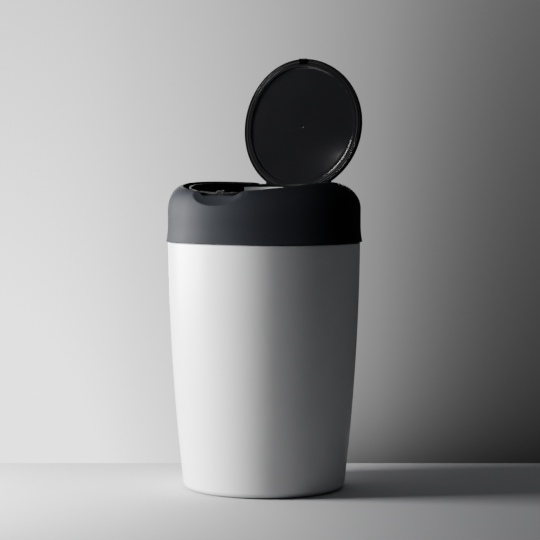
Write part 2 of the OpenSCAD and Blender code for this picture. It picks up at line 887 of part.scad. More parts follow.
label_t = 0.8;
label_half = 42;
label_top = crest_z - 7.5;
label_h = 13;
module mouth_label() {
    wedge_r = 1.3 * seal_in_r;
    color("whitesmoke")
        intersection() {
            difference() {
                bowl(0, label_top - label_h, label_top);
                bowl(-label_t, label_top - label_h - 1, label_top + 1);
            }
            translate([0, -mouth_y, label_top - label_h - 1])
                linear_extrude(label_h + 2)
                    polygon([[0, 0], wedge_r * [sin(label_half), cos(label_half)], [0, 1.5 * wedge_r],
                        wedge_r * [-sin(label_half), cos(label_half)]]);
        }
}

// ---------------------------------------------------------------- film cutter

track_len = 64;
track_w = 14;
track_y = -(throat_r + mouth_y + seal_in_r) / 2;
track_t = 1.2;
rail_h = 4.2;
rail_t = 1.6;
lip = 1.4;
shuttle_len = 18;
travel = 32;

module cutter_track() {
    color("black")
        translate([0, track_y, deck_top]) {
            translate([-track_len / 2, -track_w / 2, 0])
                cube([track_len, track_w, track_t]);
            for (side = [0, 1])
                mirror([0, side, 0]) {
                    translate([-track_len / 2, track_w / 2 - rail_t, 0])
                        cube([track_len, rail_t, rail_h]);
                    translate([-track_len / 2, track_w / 2 - rail_t - lip, rail_h - 1.2])
                        cube([track_len, rail_t + lip, 1.2]);
                }
            for (end = [0, 1])
                mirror([end, 0, 0])
                    translate([-track_len / 2, -track_w / 2, 0])
                        cube([2, track_w, rail_h]);
        }
}

module shuttle_place() {
    translate([-travel / 2, track_y, deck_top + track_t + gap])
        children();
}

module cutter_shuttle() {
    foot_w = track_w - 2 * rail_t - 2 * gap;
    neck_w = foot_w - 2 * lip;
    foot_t = rail_h - 1.2 - track_t - 2 * gap;
    color("firebrick")
        shuttle_place()
            difference() {
                union() {
                    translate([-shuttle_len / 2, -foot_w / 2, 0])
                        cube([shuttle_len, foot_w, foot_t]);
                    translate([-shuttle_len / 2, -neck_w / 2, 0])
                        cube([shuttle_len, neck_w, rail_h + 0.6]);
                    translate([-shuttle_len / 2, -track_w / 2 + 1, rail_h])
                        cube([shuttle_len, track_w - 2, 3]);
                    // Nose that hooks over the film
                    translate([-5, track_w / 2 - 2, rail_h])
                        cube([10, 8, 3]);
                }
                // Finger grooves
                for (i = [-2:2])
                    translate([i * 3, 0, rail_h + 3.2])
                        rotate([90, 0, 0])
                            cylinder(r = 0.8, h = 30, center = true, $fn = 24);
                translate([-0.4, track_w / 2 - 3, rail_h - 1])
                    cube([0.8, 7, 5]);
            }
}

module cutter_blade() {
    color("lightgray")
        shuttle_place()
            translate([-0.4, track_w / 2 - 3, rail_h])
                cube([0.8, 7, 2.4]);
}

module lid_hinge_pins() {
    color("silver") {
        hinge_cylinder(hinge_pin_r, -pin_out, -pin_in);
        hinge_cylinder(hinge_pin_r, pin_in, pin_out);
    }
}

// ---------------------------------------------------------------- lid

// Heights of the lid's faces above the arch, when it is shut
lid_under = gap - seal_drop;
lid_rise = lid_under + lid_t;
skin_under = lid_rise - lid_wall;
flap_half = knuckle_end - 2;
flap_back = hinge_y + 9.5;
slot_half = bump_w / 2 + 0.7;
catch_y = -mouth_y - lid_r + 1.1;
catch_z = arch_z(catch_y) + skin_under - 1.6;
catch_pin_r = 0.7;
catch_drop = catch_z - arch_z(catch_y) + moat_drop - 0.9;
nib_r = 0.9;
nib_z = catch_z - catch_drop + 1.1;

// Turns the shut lid open
module opened() {
    translate([0, hinge_y, hinge_z])
        rotate([-lid_open, 0, 0])
            translate([0, -hinge_y, -hinge_z])
                children();
}

// Slot at the lid's front for the catch bump and the catch
module front_slot() {
    intersection() {
        translate([-slot_half, -mouth_y - lid_r - 5, cut_low])
            cube([2 * slot_half, lid_r - seal_in_r + 6.5, cut_high - cut_low]);
        under_arch(skin_under);
    }
}

module lid_shell() {
    color([0.07, 0.07, 0.08])
        opened()
            difference() {
                union() {
                    arch_slab(skin_under, lid_rise)
                        upright(lid_r);
                    arch_slab(lid_under, lid_rise)
                        difference() {
                            upright(lid_r);
                            upright(lid_r - lid_wall, cut_low - 1, cut_high + 1);
                        }
                    // Flap over the hinge well
                    arch_slab(skin_under, lid_rise)
                        translate([-flap_half, well_front - 4, hinge_z])
                            cube([2 * flap_half, flap_back - well_front + 4, big]);
                    for (side = [0, 1])
                        mirror([side, 0, 0]) {
                            hinge_cylinder(knuckle_r, knuckle_end - knuckle_w, knuckle_end);
                            intersection() {
                                translate([knuckle_end - knuckle_w, hinge_y - 6.5, hinge_z])
                                    cube([flap_half - knuckle_end + knuckle_w, 14, big]);
                                under_arch(skin_under + 1);
                            }
                        }
                }
                front_slot();
                for (side = [0, 1])
                    mirror([side, 0, 0])
                        hinge_cylinder(hinge_pin_r + pin_gap, knuckle_end - knuckle_w - 1, knuckle_end + 1);
                // Bores for the catch's pin
                translate([-slot_half - 3, catch_y, catch_z])
                    rotate([0, 90, 0])
                        cylinder(r = catch_pin_r, h = 2 * slot_half + 6, $fn = 24);
            }
}

liner_t = 1.8;
groove_in = seal_in_r - 0.3;
groove_out = seal_out_r + 0.3;
groove_depth = 1.5;
module lid_liner() {
    band_in = lid_r - band_w;
    band_out = lid_r - lid_wall;
    dish = lid_under + dish_depth;
    color([0.03, 0.03, 0.03])
        opened()
            difference() {
                union() {
                    arch_slab(lid_under, lid_under + 3.2)
                        difference() {
                            upright(band_out);
                            upright(band_in - liner_t, cut_low - 1, cut_high + 1);
                        }
                    arch_slab(lid_under + 3.1, dish + liner_t)
                        difference() {
                            upright(band_in + 1);
                            upright(band_in - liner_t, cut_low - 1, cut_high + 1);
                        }
                    arch_slab(dish, dish + liner_t)
                        upright(band_in - liner_t / 2);
                }
                arch_slab(lid_under - 1, lid_under + groove_depth)
                    difference() {
                        upright(groove_out);
                        upright(groove_in, cut_low - 1, cut_high + 1);
                    }
                front_slot();
                // Dimple where the plastic was let into the mould
                arch_slab(dish - 1, dish + 0.5)
                    upright(1.7);
            }
}

module lid_gasket() {
    color("dimgray")
        opened()
            difference() {
                arch_slab(lid_under, lid_under + groove_depth)
                    difference() {
                        upright(groove_out);
                        upright(groove_in, cut_low - 1, cut_high + 1);
                    }
                front_slot();
            }
}

module lid_catch() {
    wide = 2 * (slot_half - gap);
    color("black")
        opened()
            difference() {
                union() {
                    translate([-wide / 2, catch_y, catch_z])
                        rotate([0, 90, 0])
                            cylinder(r = 1.4, h = wide, $fn = 32);
                    translate([-wide / 2, catch_y - 0.9, catch_z - catch_drop])
                        cube([wide, 1.8, catch_drop]);
                    // Nib that snaps under the catch bump
                    translate([0, catch_y, nib_z])
                        rotate([-90, 0, 0])
                            cylinder(r = nib_r, h = 3.2, $fn = 24);
                }
                translate([-wide, catch_y, catch_z])
                    rotate([0, 90, 0])
                        cylinder(r = catch_pin_r + pin_gap, h = 2 * wide, $fn = 24);
            }
}

module catch_pin() {
    color("silver")
        opened()
            translate([-slot_half - 3, catch_y, catch_z])
                rotate([0, 90, 0])
                    cylinder(r = catch_pin_r, h = 2 * slot_half + 6, $fn = 24);
}

// Show one node, or all
tub();
foot_pads();
support_collar();
pawl_washer();
click_pawl();
twist_sleeve();
ratchet_ring();
retaining_clip();
gripper_ring();
finger_pins();
gripper_finger(0);  // gripper_finger_1
gripper_finger(1);  // gripper_finger_2
gripper_finger(2);  // gripper_finger_3
gripper_finger(3);  // gripper_finger_4
gripper_finger(4);  // gripper_finger_5
gripper_finger(5);  // gripper_finger_6
cassette_tray();
cassette_cap();
film_pack();
film_sleeve();
head_cover();
head_liner();
liner_screws();
mouth_label();
cutter_track();
cutter_shuttle();
cutter_blade();
lid_hinge_pins();
lid_shell();
lid_liner();
lid_gasket();
lid_catch();
catch_pin();
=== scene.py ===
import math

import bmesh
import bpy
import numpy as np
from mathutils import Matrix, Vector


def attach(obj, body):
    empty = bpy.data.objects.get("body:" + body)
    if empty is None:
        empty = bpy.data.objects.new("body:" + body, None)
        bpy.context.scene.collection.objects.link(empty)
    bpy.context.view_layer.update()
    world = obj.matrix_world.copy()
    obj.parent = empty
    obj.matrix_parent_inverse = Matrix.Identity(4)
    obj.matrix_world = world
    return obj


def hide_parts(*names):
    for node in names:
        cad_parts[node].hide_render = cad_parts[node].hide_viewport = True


print("loading the packed frame")
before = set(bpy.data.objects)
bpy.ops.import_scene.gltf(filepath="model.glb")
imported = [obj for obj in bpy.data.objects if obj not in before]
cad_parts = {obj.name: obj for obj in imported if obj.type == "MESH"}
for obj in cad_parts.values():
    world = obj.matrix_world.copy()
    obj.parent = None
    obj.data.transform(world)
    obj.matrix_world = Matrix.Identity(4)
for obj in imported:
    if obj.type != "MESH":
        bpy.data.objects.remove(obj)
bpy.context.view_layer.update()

cameraPlan = {
    "azimuth": 31.0,  # degrees round the bin from its front
    "distance": 2.5,
    "eyeHeight": 0.415,
    "pitch": 2.975,  # degrees down
    "yaw": 0.174,  # degrees to the right of the bin's axis
    "roll": 0.05,
    "lens": 127.6,
    "sensor": 36.0,
    "clipEnd": 30.0,
}


def addObject(name, data):
    # an object at the origin, linked into the scene
    thing = bpy.data.objects.new(name, data)
    bpy.context.collection.objects.link(thing)
    return thing


def makeCamera(plan):
    # stands at the azimuth, faces the bin's axis, and turns by yaw, pitch and roll
    azimuth, distance = math.radians(plan["azimuth"]), plan["distance"]
    cameraData = bpy.data.cameras.new("studioCamera")
    cameraData.lens = plan["lens"]
    cameraData.sensor_width = plan["sensor"]
    cameraData.clip_end = plan["clipEnd"]
    camera = addObject("studioCamera", cameraData)
    turn = (
        Matrix.Rotation(azimuth - math.radians(plan["yaw"]), 4, "Z")
        @ Matrix.Rotation(math.radians(90 - plan["pitch"]), 4, "X")
        @ Matrix.Rotation(math.radians(plan["roll"]), 4, "Z")
    )
    x, y = distance * math.sin(azimuth), -distance * math.cos(azimuth)
    camera.matrix_world = Matrix.Translation(Vector((x, y, plan["eyeHeight"]))) @ turn
    bpy.context.scene.camera = camera


makeCamera(cameraPlan)
print("camera placed")


def newGroup(name, values, results):
    # an empty group that takes a Vector and these numbers, with their start values, and
    # gives the named results; returned with its own sockets, in the same order
    group = bpy.data.node_groups.new(name, "ShaderNodeTree")
    sockets = group.interface
    sockets.new_socket("Vector", in_out="INPUT", socket_type="NodeSocketVector")
    for label, value in values.items():
        socket = sockets.new_socket(label, in_out="INPUT", socket_type="NodeSocketFloat")
        socket.default_value = value
    for label in results:
        sockets.new_socket(label, in_out="OUTPUT", socket_type="NodeSocketFloat")
    start, end = group.nodes.new("NodeGroupInput"), group.nodes.new("NodeGroupOutput")
    taken = [start.outputs[label] for label in ("Vector", *values)]
    return group, taken, [end.inputs[label] for label in results]


def addNode(tree, kind, inputs=None, **settings):
    # a shader node with its settings; each input gets a link or a plain value
    node = tree.nodes.new("ShaderNode" + kind)
    for label, value in settings.items():
        setattr(node, label, value)
    for label, value in (inputs or {}).items():
        if isinstance(value, bpy.types.NodeSocket):
            tree.links.new(value, node.inputs[label])
        else:
            node.inputs[label].default_value = value
    return node


def mathNode(tree, operation, first, second=None, clamp=False):
    # the output of one sum on links or plain numbers
    inputs = {0: first} if second is None else {0: first, 1: second}
    return addNode(tree, "Math", inputs, operation=operation, use_clamp=clamp).outputs[0]


def rampNode(tree, value, stops, interpolation="LINEAR"):
    # a colour ramp through (position, colour) stops
    ramp = addNode(tree, "ValToRGB", {0: value})
    ramp.color_ramp.interpolation = interpolation
    elements = ramp.color_ramp.elements
    for k, (position, colour) in enumerate(stops):
        stop = elements[k] if k < 2 else elements.new(position)
        stop.position = position
        stop.color = (*colour, 1)
    return ramp.outputs[0]


def makeMouldGrain():
    # fine spark-eroded grain of a mould, and the slow unevenness of a cooled wall
    group, (place, scale, slowScale), (height, mottle) = newGroup(
        "mouldGrain", {"Scale": 900.0, "Slow": 22.0}, ["Height", "Mottle"]
    )
    grain = {"Vector": place, "Scale": scale, "Detail": 4.0, "Roughness": 0.6}
    fine = addNode(group, "TexNoise", grain).outputs[0]
    pitScale = mathNode(group, "MULTIPLY", scale, 1.7)
    pits = addNode(group, "TexVoronoi", {"Vector": place, "Scale": pitScale}, feature="SMOOTH_F1")
    slow = addNode(group, "TexNoise", {"Vector": place, "Scale": slowScale, "Detail": 2.0})
    both = mathNode(group, "ADD", fine, mathNode(group, "MULTIPLY", pits.outputs[0], 0.5))
    group.links.new(both, height)
    group.links.new(slow.outputs[0], mottle)
    return group


def makeHandling():
    # faint wiping streaks and finger smears that change the gloss
    group, (place, base, spread, scale), (roughness,) = newGroup(
        "handling", {"Base": 0.4, "Spread": 0.1, "Scale": 14.0}, ["Roughness"]
    )
    stretch = addNode(group, "Mapping", {"Vector": place, "Scale": (1.0, 1.0, 0.35)}).outputs[0]
    streaks = {"Vector": stretch, "Scale": scale, "Detail": 5.0, "Distortion": 0.8}
    smear = addNode(group, "TexNoise", streaks).outputs[0]
    change = mathNode(group, "MULTIPLY", mathNode(group, "SUBTRACT", smear, 0.5), spread)
    group.links.new(mathNode(group, "ADD", change, base, clamp=True), roughness)
    return group


def makeDust():
    # a thin veil that settles on faces that look up
    group, (place, amount), (mask,) = newGroup("settledDust", {"Amount": 0.1}, ["Mask"])
    facing = addNode(group, "NewGeometry").outputs["Normal"]
    upward = addNode(group, "SeparateXYZ", {0: facing}).outputs["Z"]
    up = mathNode(group, "POWER", mathNode(group, "MAXIMUM", upward, 0.0), 3.0)
    specks = addNode(group, "TexNoise", {"Vector": place, "Scale": 60.0, "Detail": 6.0})
    patchy = mathNode(group, "MULTIPLY", up, specks.outputs[0])
    group.links.new(mathNode(group, "MULTIPLY", patchy, amount, clamp=True), mask)
    return group


mouldGrain = makeMouldGrain()
handling = makeHandling()
settledDust = makeDust()


def newMaterial(name, values):
    # a material, its tree, its shader with plain values set, and its piece's own coordinates
    material = bpy.data.materials.new(name)
    material.use_nodes = True
    tree = material.node_tree
    shader = tree.nodes["Principled BSDF"]
    for label, value in values.items():
        shader.inputs[label].default_value = value
    return material, tree, shader, addNode(tree, "TexCoord").outputs["Object"]


def feedShader(tree, shader, colour, roughness, height, strength, distance):
    # colour and gloss go straight in, and the height goes in as a bump
    tree.links.new(colour, shader.inputs["Base Color"])
    tree.links.new(roughness, shader.inputs["Roughness"])
    bump = addNode(tree, "Bump", {"Height": height, "Strength": strength, "Distance": distance})
    tree.links.new(bump.outputs[0], shader.inputs["Normal"])


plainFinish = {
    "mottle": 0.06,  # share by which the colour drifts, up and down
    "mottleScale": 22.0,
    "smear": 0.1,
    "smearScale": 14.0,
    "grainScale": 900.0,
    "grainStrength": 0.1,
    "grainDepth": 0.0001,
    "dust": 0.08,
    "dustColour": (0.32, 0.31, 0.3),
    "shader": {},
}


def plastic(name, ownFinish):
    # a moulded plastic: colour with a slow mottle and dust, smeared gloss, moulded grain
    finish = {**plainFinish, **ownFinish}
    material, tree, shader, place = newMaterial(name, finish["shader"])
    grain = {"Vector": place, "Scale": finish["grainScale"], "Slow": finish["mottleScale"]}
    grain = addNode(tree, "Group", grain, node_tree=mouldGrain)
    gloss = {"Vector": place, "Base": finish["roughness"]}
    gloss.update({"Spread": finish["smear"], "Scale": finish["smearScale"]})
    gloss = addNode(tree, "Group", gloss, node_tree=handling)
    dust = {"Vector": place, "Amount": finish["dust"]}
    dust = addNode(tree, "Group", dust, node_tree=settledDust)
    darker = [c * (1 - finish["mottle"]) for c in finish["colour"]]
    lighter = [min(1.0, c * (1 + finish["mottle"])) for c in finish["colour"]]
    mottled = rampNode(tree, grain.outputs["Mottle"], [(0.3, darker), (0.7, lighter)])
    veil = {0: dust.outputs["Mask"], 6: mottled, 7: (*finish["dustColour"], 1)}
    colour = addNode(tree, "Mix", veil, data_type="RGBA").outputs[2]
    relief = (grain.outputs["Height"], finish["grainStrength"], finish["grainDepth"])
    feedShader(tree, shader, colour, gloss.outputs["Roughness"], *relief)
    return material


finishes = {
    "tubWhite": {
        "colour": (0.83, 0.83, 0.84),
        "roughness": 0.33,
        "mottle": 0.015,
        "grainStrength": 0.05,
        "dust": 0.05,
        "shader": {"Coat Weight": 0.25, "Coat Roughness": 0.2},
    },
    "padRubber": {"colour": (0.06, 0.06, 0.06), "roughness": 0.8, "grainStrength": 0.4},
    "collarGrey": {"colour": (0.55, 0.56, 0.57), "roughness": 0.5, "mottle": 0.03},
    "headCharcoal": {
        "colour": (0.0098, 0.0108, 0.0135),
        "roughness": 0.6,
        "smear": 0.12,
        "mottle": 0.05,
        "grainStrength": 0.18,
        "grainScale": 1400.0,
        "dust": 0.008,
        "shader": {"Specular IOR Level": 0.04},
    },
    "linerBlack": {
        "colour": (0.006, 0.006, 0.007),
        "roughness": 0.6,
        "smear": 0.12,
        "dust": 0.004,
        "shader": {"Specular IOR Level": 0.06},
    },
    "lidGloss": {
        "colour": (0.021, 0.021, 0.024),
        "roughness": 0.09,
        "smear": 0.04,
        "smearScale": 9.0,
        "mottle": 0.08,
        "grainStrength": 0.02,
        "dust": 0.01,
        "shader": {"Coat Weight": 0.35, "Coat Roughness": 0.05},
    },
    "sealRubber": {
        "colour": (0.006, 0.006, 0.006),
        "roughness": 0.5,
        "grainStrength": 0.3,
        "dust": 0.01,
        "shader": {"Specular IOR Level": 0.2},
    },
    "twistGrey": {"colour": (0.2, 0.21, 0.22), "roughness": 0.45, "grainStrength": 0.15},
    "gripperGreen": {"colour": (0.12, 0.3, 0.23), "roughness": 0.42, "grainStrength": 0.12},
    "cassetteBlue": {
        "colour": (0.25, 0.38, 0.52),
        "roughness": 0.28,
        "grainStrength": 0.06,
        "shader": {"Coat Weight": 0.2},
    },
    "pawlAcetal": {
        "colour": (0.78, 0.76, 0.7),
        "roughness": 0.35,
        "shader": {"Subsurface Weight": 0.05},
    },
    "labelWhite": {
        "colour": (0.82, 0.82, 0.81),
        "roughness": 0.3,
        "mottle": 0.01,
        "grainStrength": 0.05,
    },
    "cutterRed": {"colour": (0.45, 0.05, 0.04), "roughness": 0.35},
}
materials = {name: plastic(name, finish) for name, finish in finishes.items()}

streakedFinishes = {
    # drawn wire and stamped strip: fine scratches along the drawing direction
    "drawnSteel": {
        "stretch": (60, 60, 2200),
        "noise": {"Scale": 1.0, "Detail": 6.0},
        "colours": [(0.0, (0.42, 0.42, 0.43)), (1.0, (0.66, 0.66, 0.68))],
        "roughness": (0.2, 0.25),  # the least, and what the noise adds
        "bump": (0.15, 0.0001),
        "shader": {"Metallic": 1.0},
    },
    # thin milky film: creases scatter the light and the folds look whiter
    "filmMilky": {
        "noise": {"Scale": 90.0, "Detail": 8.0, "Distortion": 1.6},
        "colours": [(0.35, (0.62, 0.67, 0.72)), (0.65, (0.86, 0.89, 0.91))],
        "roughness": (0.15, 0.3),
        "bump": (0.5, 0.0006),
        "shader": {"Subsurface Weight": 0.15, "Coat Weight": 0.3},
    },
}


def streaked(name, finish):
    # one noise, stretched where the finish says so, sets colour, gloss and relief together
    material, tree, shader, place = newMaterial(name, finish["shader"])
    if "stretch" in finish:
        stretch = {"Vector": place, "Scale": finish["stretch"]}
        place = addNode(tree, "Mapping", stretch).outputs[0]
    noise = addNode(tree, "TexNoise", {"Vector": place, **finish["noise"]}).outputs[0]
    colour = rampNode(tree, noise, finish["colours"])
    least, more = finish["roughness"]
    rough = mathNode(tree, "ADD", mathNode(tree, "MULTIPLY", noise, more), least)
    feedShader(tree, shader, colour, rough, noise, *finish["bump"])
    return material


materials.update({name: streaked(name, finish) for name, finish in streakedFinishes.items()})
print("materials made:", len(materials))

nodesByFinish = {
    "tubWhite": ["tub"],
    "padRubber": ["foot_pads"],
    "collarGrey": ["support_collar"],
    "headCharcoal": ["head_cover", "lid_shell"],
    "linerBlack": ["head_liner", "cutter_track", "lid_catch"],
    "lidGloss": ["lid_liner"],
    "sealRubber": ["lid_gasket"],
    "twistGrey": ["twist_sleeve"],
    "gripperGreen": ["gripper_ring"] + [f"gripper_finger_{i}" for i in range(1, 7)],
    "cassetteBlue": ["cassette_tray", "cassette_cap"],
    "pawlAcetal": ["click_pawl", "ratchet_ring"],
    "labelWhite": ["mouth_label"],
    "cutterRed": ["cutter_shuttle"],
    "filmMilky": ["film_pack", "film_sleeve"],
    "drawnSteel": [
        "pawl_washer",
        "retaining_clip",
        "finger_pins",
        "liner_screws",
        "cutter_blade",
        "lid_hinge_pins",
        "catch_pin",
    ],
}
for finishName, nodeNames in nodesByFinish.items():
    for nodeName in nodeNames:
        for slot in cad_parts[nodeName].material_slots:
            slot.material = materials[finishName]

mm = 0.001
weldDistance = 0.002 * mm
sliverLength = 0.0001 * mm


def meshFrom(name, points, faces):
    # a mesh from points in millimetres and lists of corner numbers, doubles merged
    mesh = bpy.data.meshes.new(name)
    mesh.from_pydata((points.reshape(-1, 3) * mm).tolist(), [], [list(face) for face in faces])
    work = bmesh.new()
    work.from_mesh(mesh)
    bmesh.ops.remove_doubles(work, verts=work.verts, dist=weldDistance)
    bmesh.ops.dissolve_degenerate(work, edges=work.edges, dist=sliverLength)
    bmesh.ops.recalc_face_normals(work, faces=work.faces)
    work.to_mesh(mesh)
    work.free()
    return mesh


def placePiece(name, mesh, material, body, sharpAngle=None):
    # a piece at the origin with smooth shading, riding on a body
    mesh.name = name
    mesh.shade_smooth()
    if sharpAngle:
        mesh.set_sharp_from_angle(angle=math.radians(sharpAngle))
    mesh.materials.clear()
    mesh.materials.append(material)
    piece = addObject(name, mesh)
    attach(piece, body)
    return piece


def carve(mesh, tools):
    # exact booleans one after another: each tool is (operation, mesh)
    target = addObject("carveTarget", mesh)
    for operation, toolMesh in tools:
        tool = addObject("carveTool", toolMesh)
        cut = target.modifiers.new("cut", "BOOLEAN")
        cut.operation = operation
        cut.solver = "EXACT"
        cut.object = tool
        ready = target.evaluated_get(bpy.context.evaluated_depsgraph_get())
        mesh = bpy.data.meshes.new_from_object(ready)
        target.modifiers.clear()
        target.data = mesh
        bpy.data.objects.remove(tool)
    bpy.data.objects.remove(target)
    return mesh


def gridFaces(rows, columns, closeRows=False, closeColumns=True):
    # quads of a rows x columns grid of points, numbered row by row
    i, j = np.meshgrid(
        np.arange(rows if closeRows else rows - 1),
        np.arange(columns if closeColumns else columns - 1),
        indexing="ij",
    )
    a = i * columns + j
    b = i * columns + (j + 1) % columns
    c = ((i + 1) % rows) * columns + (j + 1) % columns
    d = ((i + 1) % rows) * columns + j
    return np.stack([a, b, c, d], -1).reshape(-1, 4)


def gridMesh(name, grid, closeRows=False):
    # a grid of points as a skin that closes on itself round every row
    return meshFrom(name, grid, gridFaces(*grid.shape[:2], closeRows))


def gridPiece(name, grid, material, body, closeRows=False, sharpAngle=None):
    # the same skin, placed as a piece
    return placePiece(name, gridMesh(name, grid, closeRows), material, body, sharpAngle)


def roundedPath(corners, steps=6):
    # a polyline whose corners (r, z, radius) are swapped for arcs of that radius
    out = []
    count = len(corners)
    for k, (x, y, radius) in enumerate(corners):
        here = np.array([x, y], float)
        if radius <= 0 or k in (0, count - 1):
            out.append(here)
            continue
        back = np.array(corners[k - 1][:2], float) - here
        ahead = np.array(corners[k + 1][:2], float) - here
        lengthBack, lengthAhead = np.linalg.norm(back), np.linalg.norm(ahead)
        back, ahead = back / lengthBack, ahead / lengthAhead
        half = math.acos(float(np.clip(back @ ahead, -1, 1))) / 2
        room = 0.49 * min(lengthBack, lengthAhead)  # an arc takes less than half of a side
        reach = min(radius / math.tan(half), room)
        radius = reach * math.tan(half)
        middle = here + (back + ahead) / np.linalg.norm(back + ahead) * radius / math.sin(half)
        start, end = here + back * reach - middle, here + ahead * reach - middle
        sweep = math.pi - 2 * half
        sign = 1.0 if start[0] * end[1] - start[1] * end[0] > 0 else -1.0
        for s in np.linspace(0, 1, steps + 1):
            c, n = math.cos(sign * sweep * s), math.sin(sign * sweep * s)
            out.append(middle + [start[0] * c - start[1] * n, start[0] * n + start[1] * c])
    return np.array(out)


def denser(path, longest):
    # the same path with points added so that no step is longer than that
    parts = []
    for a, b in zip(path[:-1], path[1:]):
        count = max(1, int(math.ceil(np.linalg.norm(b - a) / longest)))
        share = np.arange(count)[:, None] / count
        parts.append(a + (b - a) * share)
    parts.append(path[-1:])
    return np.vstack(parts)


def around(r, z, a, y=0.0):
    # points at radius r and height z on the rays a, round an upright axis at y
    return np.stack([r * np.cos(a), y + r * np.sin(a), z + 0 * a], -1)


def fullTurn(count):
    # even angles once round, without the last, which is the first again
    return np.linspace(0, 2 * math.pi, count, endpoint=False)


tubPlan = {
    "height": 321.5,
    "topRadius": 125.2,
    "footRadius": 105.0,
    "bow": 4.3,
    "footRound": 8.0,
    "footSweep": 84.0,  # degrees of the foot's arc, up to the sloping side
    "footSteps": (13, 10),  # outside, inside
    "floorEdge": 3.0,  # the flat floor stops this far short of the foot's arc
    "wall": 2.6,
    "floor": 3.0,
    "lowest": 1.0,
    "neckRadius": 120.0,
    "neckTop": 340.0,
    "neckRound": 0.7,
    "neckFootRound": 0.6,
    "shoulderRound": 1.1,
    "ledgeRound": 1.5,
    "sideEnd": 3.0,  # heights under the shoulder, here and in the next lines
    "ledgeTop": 2.0,
    "ledgeFoot": 5.0,
    "ledgeEnd": 12.0,
    "insideTop": 14.0,
    "sideRows": 60,
    "insideRows": 50,
    "floorStep": 8.0,
    "segments": 240,
}


def tubRadius(z):
    # straight taper plus a shallow parabola that bows the side
    share = (z - tubPlan["lowest"]) / (tubPlan["height"] - tubPlan["lowest"])
    taper = (tubPlan["topRadius"] - tubPlan["footRadius"]) * share
    return tubPlan["footRadius"] + taper + 4 * tubPlan["bow"] * share * (1 - share)


def makeTub():
    # one closed profile: underside, foot, bowed side, shoulder, neck, then down the inside
    p = tubPlan
    low, high, wall, footRound = p["lowest"], p["height"], p["wall"], p["footRound"]
    neck, neckTop = p["neckRadius"], p["neckTop"]
    footMiddle = tubRadius(low + footRound) - footRound

    def footArc(radius, bottom, fromAngle, toAngle, count):
        sweep = np.radians(np.linspace(fromAngle, toAngle, count))
        r = footMiddle + radius * np.sin(sweep)
        return np.stack([r, bottom + radius * (1 - np.cos(sweep))], -1)

    def flat(fromR, toR, z):
        return denser(np.array([[fromR, z], [toR, z]]), p["floorStep"])

    def insideAt(z):
        return (tubRadius(z) - wall, z)

    sideZ = np.linspace(low + footRound, high - p["sideEnd"], p["sideRows"])
    side = np.stack([tubRadius(sideZ), sideZ], -1)
    shoulder = roundedPath(
        [
            (*side[-1], 0),
            (p["topRadius"], high, p["shoulderRound"]),
            (neck, high, p["neckFootRound"]),
            (neck, neckTop, p["neckRound"]),
            (neck - wall, neckTop, p["neckRound"]),
            (neck - wall, high - p["ledgeTop"], p["ledgeRound"]),
            (*insideAt(high - p["ledgeFoot"]), p["ledgeRound"]),
            (*insideAt(high - p["ledgeEnd"]), 0),
        ]
    )
    insideZ = np.linspace(high - p["insideTop"], low + footRound, p["insideRows"])
    outSteps, inSteps = p["footSteps"]
    floorRadius, floorTop = footMiddle - p["floorEdge"], low + p["floor"]
    path = np.vstack(
        [
            flat(0.0, floorRadius, low),
            footArc(footRound, low, 0, p["footSweep"], outSteps),
            side,
            shoulder[1:],
            np.stack(insideAt(insideZ), -1),
            footArc(footRound - wall, floorTop, p["footSweep"], 0, inSteps),
            flat(floorRadius, 0.0, floorTop),
        ]
    )
    grid = around(path[:, :1], path[:, 1:], fullTurn(p["segments"]))
    tub = gridPiece("tubShell", grid, materials["tubWhite"], "bin")
    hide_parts("tub")


makeTub()
print("tub made")

archPlan = {"crestZ": 400.5, "crestY": 15.0, "radius": 700.0}
mouthPlan = {
    "y": -21.0,
    "edge": 94.3,
    "moatInner": 86.9,
    "moatDrop": 6.0,
    "sealInner": 84.0,
    "sealWidth": 2.6,
    "sealDrop": 2.5,
}


def archHeight(y):
    # a circle of the arch's radius, seen from the side
    drop = np.sqrt(archPlan["radius"] ** 2 - (y - archPlan["crestY"]) ** 2)
    return archPlan["crestZ"] - archPlan["radius"] + drop


coverPlan = {
    "radius": 125.9,
    "skirtRadius": 128.0,
    "bottom": 322.5,
    "flare": 22.0,
    "wall": 2.5,
    "shoulderWidth": 40.0,
    "shoulderHeight": 33.0,
    "scoopRadius": 51.0,
    "scoopCross": 180.0,
    "scoopY": -150.0,
    "scoopZ": 415.0,
    "scoopHalf": 80.0,  # it reaches no further than this to either side
    "scoopBack": -0.3,  # nor to rays whose sine is above this
    "crease": 1.2,
    "creaseRight": 6.5,  # the scoop runs out softly at its right end
    "creaseFrom": 4.0,
    "creaseSpan": 36.0,
    "wellHalf": 52.3,
    "wellBack": 91.5,
    "lipRound": 0.8,
    "edgeRound": 0.9,
    "innerEdge": 0.4,
    "frontFrom": 0.2 * math.pi,  # from straight sideways to where the close rays start
    "rayCounts": (260, 150, 60, 150),  # front, right, behind the hinge's well, left
    "topRows": (6, 12, 8, 26),  # moat, scooped moat, rim, scoop
    "flatRows": 6,
    "shoulderRows": 44,
    "wallRows": 8,
    "flareRows": 14,
    "edgeAngles": (25, 50, 75, 90),
    "skirtRows": 6,
    "ceilingRows": 18,
    "startRoom": (0.05, 0.02),  # the scoop's inner edge keeps off the lip and the rim
    "endRoom": (0.25, 0.6),  # and its outer edge off the rim and the wall
    "searchRoom": 0.05,  # the search for the outer edge ends this far off the wall
    "lipRoom": 0.3,  # the inside keeps this far off the lip
}
farAbove = 900.0  # a height that cuts nothing
farOut = 1e6  # and a distance that nothing reaches


def rayLength(a, radius):
    # from the mouth's middle to a circle round the bin's axis
    along = -mouthPlan["y"] * np.sin(a)
    return along + np.sqrt(along**2 + radius**2 - mouthPlan["y"] ** 2)


